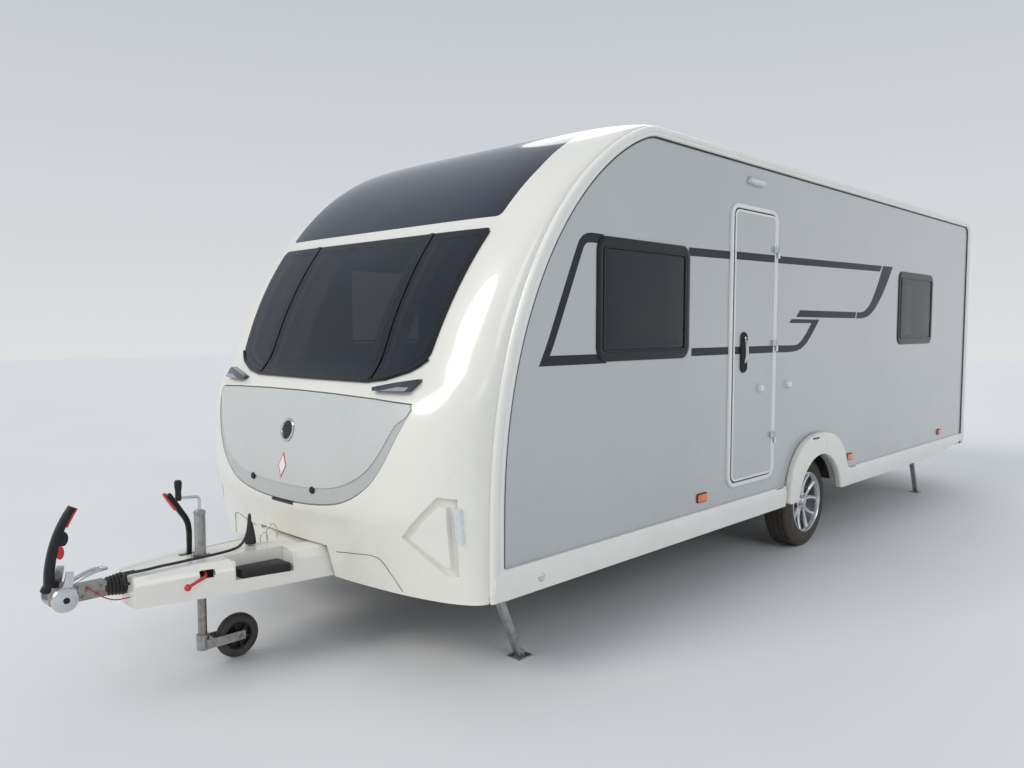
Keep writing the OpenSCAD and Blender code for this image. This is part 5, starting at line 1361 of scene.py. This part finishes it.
    # Handbrake: a flat lever with a red release along its tip.
    y = -0.066
    spine = path_at(JOCKEY_X, [(0.028, y, 0.440), (0.021, y, 0.560), (0.026, y, 0.652), (0.062, y, 0.718),
                               (0.112, y, 0.793)], 7)
    grip = sweep(spine, lambda s: squircle(0.008 + 0.004 * s, 0.0105 + 0.0035 * s, 0.5))
    piece("handbrake_grip", *grip, BLACK, replaces=["handbrake_lever"], slot="black_plastic", sharp=50)
    release = path_at(JOCKEY_X, [(0.080, y, 0.722), (0.104, y, 0.758), (0.130, y, 0.800)], 5)
    section = [(-0.010, -0.006), (0.010, -0.006), (0.010, 0.007), (-0.010, 0.007)]
    piece("handbrake_release", *sweep(release, section), RED, sharp=50)


def build_jockey():
    x = x_at(JOCKEY_X)
    tube = [(0.0198, 0.366), (0.024, 0.366), (0.024, 0.700), (0.0262, 0.703), (0.0262, 0.713), (0.0198,
                                                                                                0.713)]
    cap = [(0.0, 0.7065), (0.0195, 0.7065), (0.0225, 0.7135), (0.018, 0.719), (0.0, 0.720)]
    column = merge(revolve(tube, (x, 0, 0), "Z", 56), turned(cap, (x, 0, 0), "Z", 48))
    piece("jockey_column", *column, ZINC, replaces=["jockey_outer_tube"], slot="galvanised", sharp=40)
    crank = path_at(JOCKEY_X, [(0, 0, 0.712), (0, 0, 0.745), (0.001, 0, 0.768), (0.009, 0, 0.779),
                               (0.030, 0, 0.782), (0.070, 0, 0.785), (0.094, 0, 0.787)], 7)
    piece("jockey_crank", *sweep(crank, circle(0.0065, 12)), CHROME, sharp=60)
    knob = [(0.0, 0.775), (0.012, 0.775), (0.0135, 0.785), (0.0125, 0.815), (0.016, 0.838), (0.0165, 0.855),
            (0.012, 0.865), (0.0, 0.867)]
    piece("jockey_knob", *turned(knob, (x + 0.094, 0, 0), "Z", 32), BLACK, sharp=50)
    cad("jockey_inner_tube", STEEL)
    cad("jockey_fork", ZINC, 0.0012)
    # Clamp lever with a red ball end, out through the cover's slot.
    path = path_at(JOCKEY_X, [(0.018, 0.056, 0.466), (0.042, 0.118, 0.467), (0.066, 0.182, 0.468),
                              (0.115, 0.212, 0.463), (0.172, 0.248, 0.458)], 5)
    arm = sweep(path, lambda s: circle(0.0082 - 0.0012 * s, 12), side=(0, 0, 1))
    piece("clamp_arm", *arm, RED, replaces=["clamp_lever"], slot="red_plastic", sharp=60)
    ball = [(0.015 * math.sin(a), -0.015 * math.cos(a)) for a in np.linspace(0, math.pi, 13)]
    piece("clamp_ball", *turned(ball, (x + 0.172, 0.248, 0.458), "Z", 24), RED, sharp=60)
    # Jockey wheel: solid rubber tyre on a black spoked centre.
    at = (x - 0.165, 0, 0.102)
    flank = [(0.064, 0.023), (0.070, 0.027), (0.084, 0.0275), (0.094, 0.023), (0.100, 0.014), (0.102, 0.005)]
    tyre = [(r, -h) for r, h in flank] + flank[::-1]
    piece("jockey_tyre", *revolve(tyre, at, "Y", 96), RUBBER, body="jockey_roller", replaces=["jockey_wheel"],
          slot="black_rubber", sharp=40)
    hub = [(0.0063, -0.034), (0.018, -0.034), (0.020, -0.022), (0.020, 0.022), (0.018, 0.034), (0.0063,
                                                                                                0.034)]
    felloe = [(0.057, -0.020), (0.0645, -0.024), (0.0645, 0.024), (0.057, 0.020)]
    web = [(0.018, -0.004), (0.060, -0.004), (0.060, 0.004), (0.018, 0.004)]
    arms = []
    for i in range(6):
        a = math.radians(60 * i + 15)
        radial, across = np.array((math.cos(a), 0, math.sin(a))), np.array((-math.sin(a), 0, math.cos(a)))
        rings = []
        for s in (0.017, 0.030, 0.045, 0.059):
            w = 0.0075 - 0.04 * abs(s - 0.038)
            rings.append([np.array(at) + radial * s + across * u * w + np.array((0, v, 0))
                          for u, v in ((-1, -0.017), (1, -0.017), (1, 0.017), (-1, 0.017))])
        arms.append(ring_mesh(rings))
    centre = merge(revolve(hub, at, "Y", 40), revolve(felloe, at, "Y", 64), revolve(web, at, "Y", 48), *arms)
    piece("jockey_wheel_centre", *centre, BLACK, body="jockey_roller", sharp=35)
    nuts = []
    for side, _ in SIDES:
        for r, low, high, n in ((0.013, 0.0, 0.003, 24), (0.009, 0.003, 0.009, 6)):
            profile = [(0.0, side * low), (r, side * low), (r, side * high), (0.0, side * high)]
            nuts.append(turned(profile, (at[0], side * 0.042, at[2]), "Y", n))
    piece("jockey_axle_nuts", *merge(*nuts), STEEL, body="jockey_caster", sharp=30)


# ---------------------------------------------------------------- cables

TOW_ROUTE = [
    (1.0715, 0.066, 0.473), (1.088, 0.066, 0.476), (1.097, 0.067, 0.490), (1.094, 0.070, 0.507),
    (1.080, 0.076, 0.519), (1.055, 0.084, 0.522), (1.010, 0.094, 0.525), (0.950, 0.103, 0.530),
    (0.890, 0.110, 0.532), (0.830, 0.116, 0.535), (0.770, 0.119, 0.536), (0.710, 0.117, 0.537),
    (0.650, 0.108, 0.538), (0.600, 0.094, 0.543), (0.566, 0.080, 0.562), (0.545, 0.068, 0.590),
    (0.532, 0.057, 0.620), (0.523, 0.046, 0.645), (0.513, 0.032, 0.660), (0.503, 0.017, 0.662),
    (0.495, 0.005, 0.650), (0.492, 0.0, 0.634), (0.492, 0.0, 0.6205),
]
BREAKAWAY_ROUTE = [
    (1.225, 0.0296, 0.486), (1.225, 0.038, 0.485), (1.216, 0.050, 0.475), (1.192, 0.059, 0.453),
    (1.160, 0.064, 0.430), (1.130, 0.064, 0.418), (1.100, 0.062, 0.414), (1.070, 0.060, 0.414),
]


def build_cables():
    x = x_at(FRONT_X + 0.492)
    boot = revolve([(0.0, 0.5203), (0.025, 0.5203), (0.0255, 0.526), (0.0245, 0.545), (0.0235, 0.548),
                    (0.0205, 0.570), (0.0165, 0.592), (0.0125, 0.612), (0.0085, 0.6195), (0.0, 0.620)],
                   (x, 0, 0), "Z", 48, closed=False)
    plug = piece("plug_boot", *boot, RUBBER, replaces=["tow_plug"], slot="black_plastic", sharp=50)
    for name, route, r, finish, far, node, slot, others in (
        ("tow_cable_jacket", TOW_ROUTE, 0.006, CABLE, "plug", "tow_cable", "cable_black", [plug]),
        ("breakaway_sleeve", BREAKAWAY_ROUTE, 0.0025, CABLE_RED, "object", "breakaway_cable", "cable_red",
         []),
    ):
        path = smooth_path([(x_at(FRONT_X + a), b, c) for a, b, c in route], 6)
        tube = piece(name, *sweep(path, circle(r, 14), side=(0.31, 0.25, 0.92)), finish, slot=slot,
                     replaces=[node], sharp=60)


# ---------------------------------------------------------------- floor and light


def build_stage():
    mesh = bpy.data.meshes.new("ground")
    s = 40
    mesh.from_pydata([(-s, -s, 0), (s, -s, 0), (s, s, 0), (-s, s, 0)], [], [(0, 1, 2, 3)])
    floor = bpy.data.objects.new("ground", mesh)
    bpy.context.scene.collection.objects.link(floor)
    finish = material("pale_floor", (0.80, 0.80, 0.80), 0.5, vary=0.015, scale=0.6, bump=0.01, bump_scale=40)
    dress(floor, finish)
    world = bpy.data.worlds.new("world")
    bpy.context.scene.world = world
    world.use_nodes = True
    nodes, links = world.node_tree.nodes, world.node_tree.links
    background = nodes["Background"]
    place = nodes.new("ShaderNodeTexCoord")
    split = nodes.new("ShaderNodeSeparateXYZ")
    links.new(place.outputs["Generated"], split.inputs["Vector"])
    ramp = nodes.new("ShaderNodeValToRGB")
    ramp.color_ramp.elements[0].position, ramp.color_ramp.elements[1].position = 0.42, 0.75
    ramp.color_ramp.elements[0].color = (0.78, 0.78, 0.785, 1)
    ramp.color_ramp.elements[1].color = (0.50, 0.54, 0.60, 1)
    lift = nodes.new("ShaderNodeMapRange")
    lift.inputs["From Min"].default_value = -1
    links.new(split.outputs["Z"], lift.inputs["Value"])
    links.new(lift.outputs["Result"], ramp.inputs["Fac"])
    links.new(ramp.outputs["Color"], background.inputs["Color"])
    background.inputs["Strength"].default_value = 1.0
    for name, source, strength, colour in (
        ("key", (11, -3, 9), 1.2, (1.0, 0.97, 0.91)), ("fill", (3, 11, 7), 0.45, (0.93, 0.96, 1.0)),
        ("back", (-9, -6, 7), 0.3, (1, 1, 1)),
    ):
        data = bpy.data.lights.new(name, "SUN")
        data.energy, data.angle, data.color = strength, 0.5, colour
        lamp = bpy.data.objects.new(name, data)
        lamp.location = source
        lamp.rotation_euler = Vector(source).to_track_quat("Z", "Y").to_euler()
        bpy.context.scene.collection.objects.link(lamp)
    bpy.context.scene.view_settings.view_transform = "Standard"


build_cables()
build_roof()
build_front()
build_front_glass()
build_lid()
build_grab_handles()
build_rear()
build_rails()
build_skirts()
build_stripes()
build_side_windows()
build_curtains()
build_door()
build_side_lamps()
build_service_doors()
build_wheel(1)
build_wheel(-1)
build_chassis()
build_drawbar_cover()
build_hitch()
build_jockey()
build_stage()
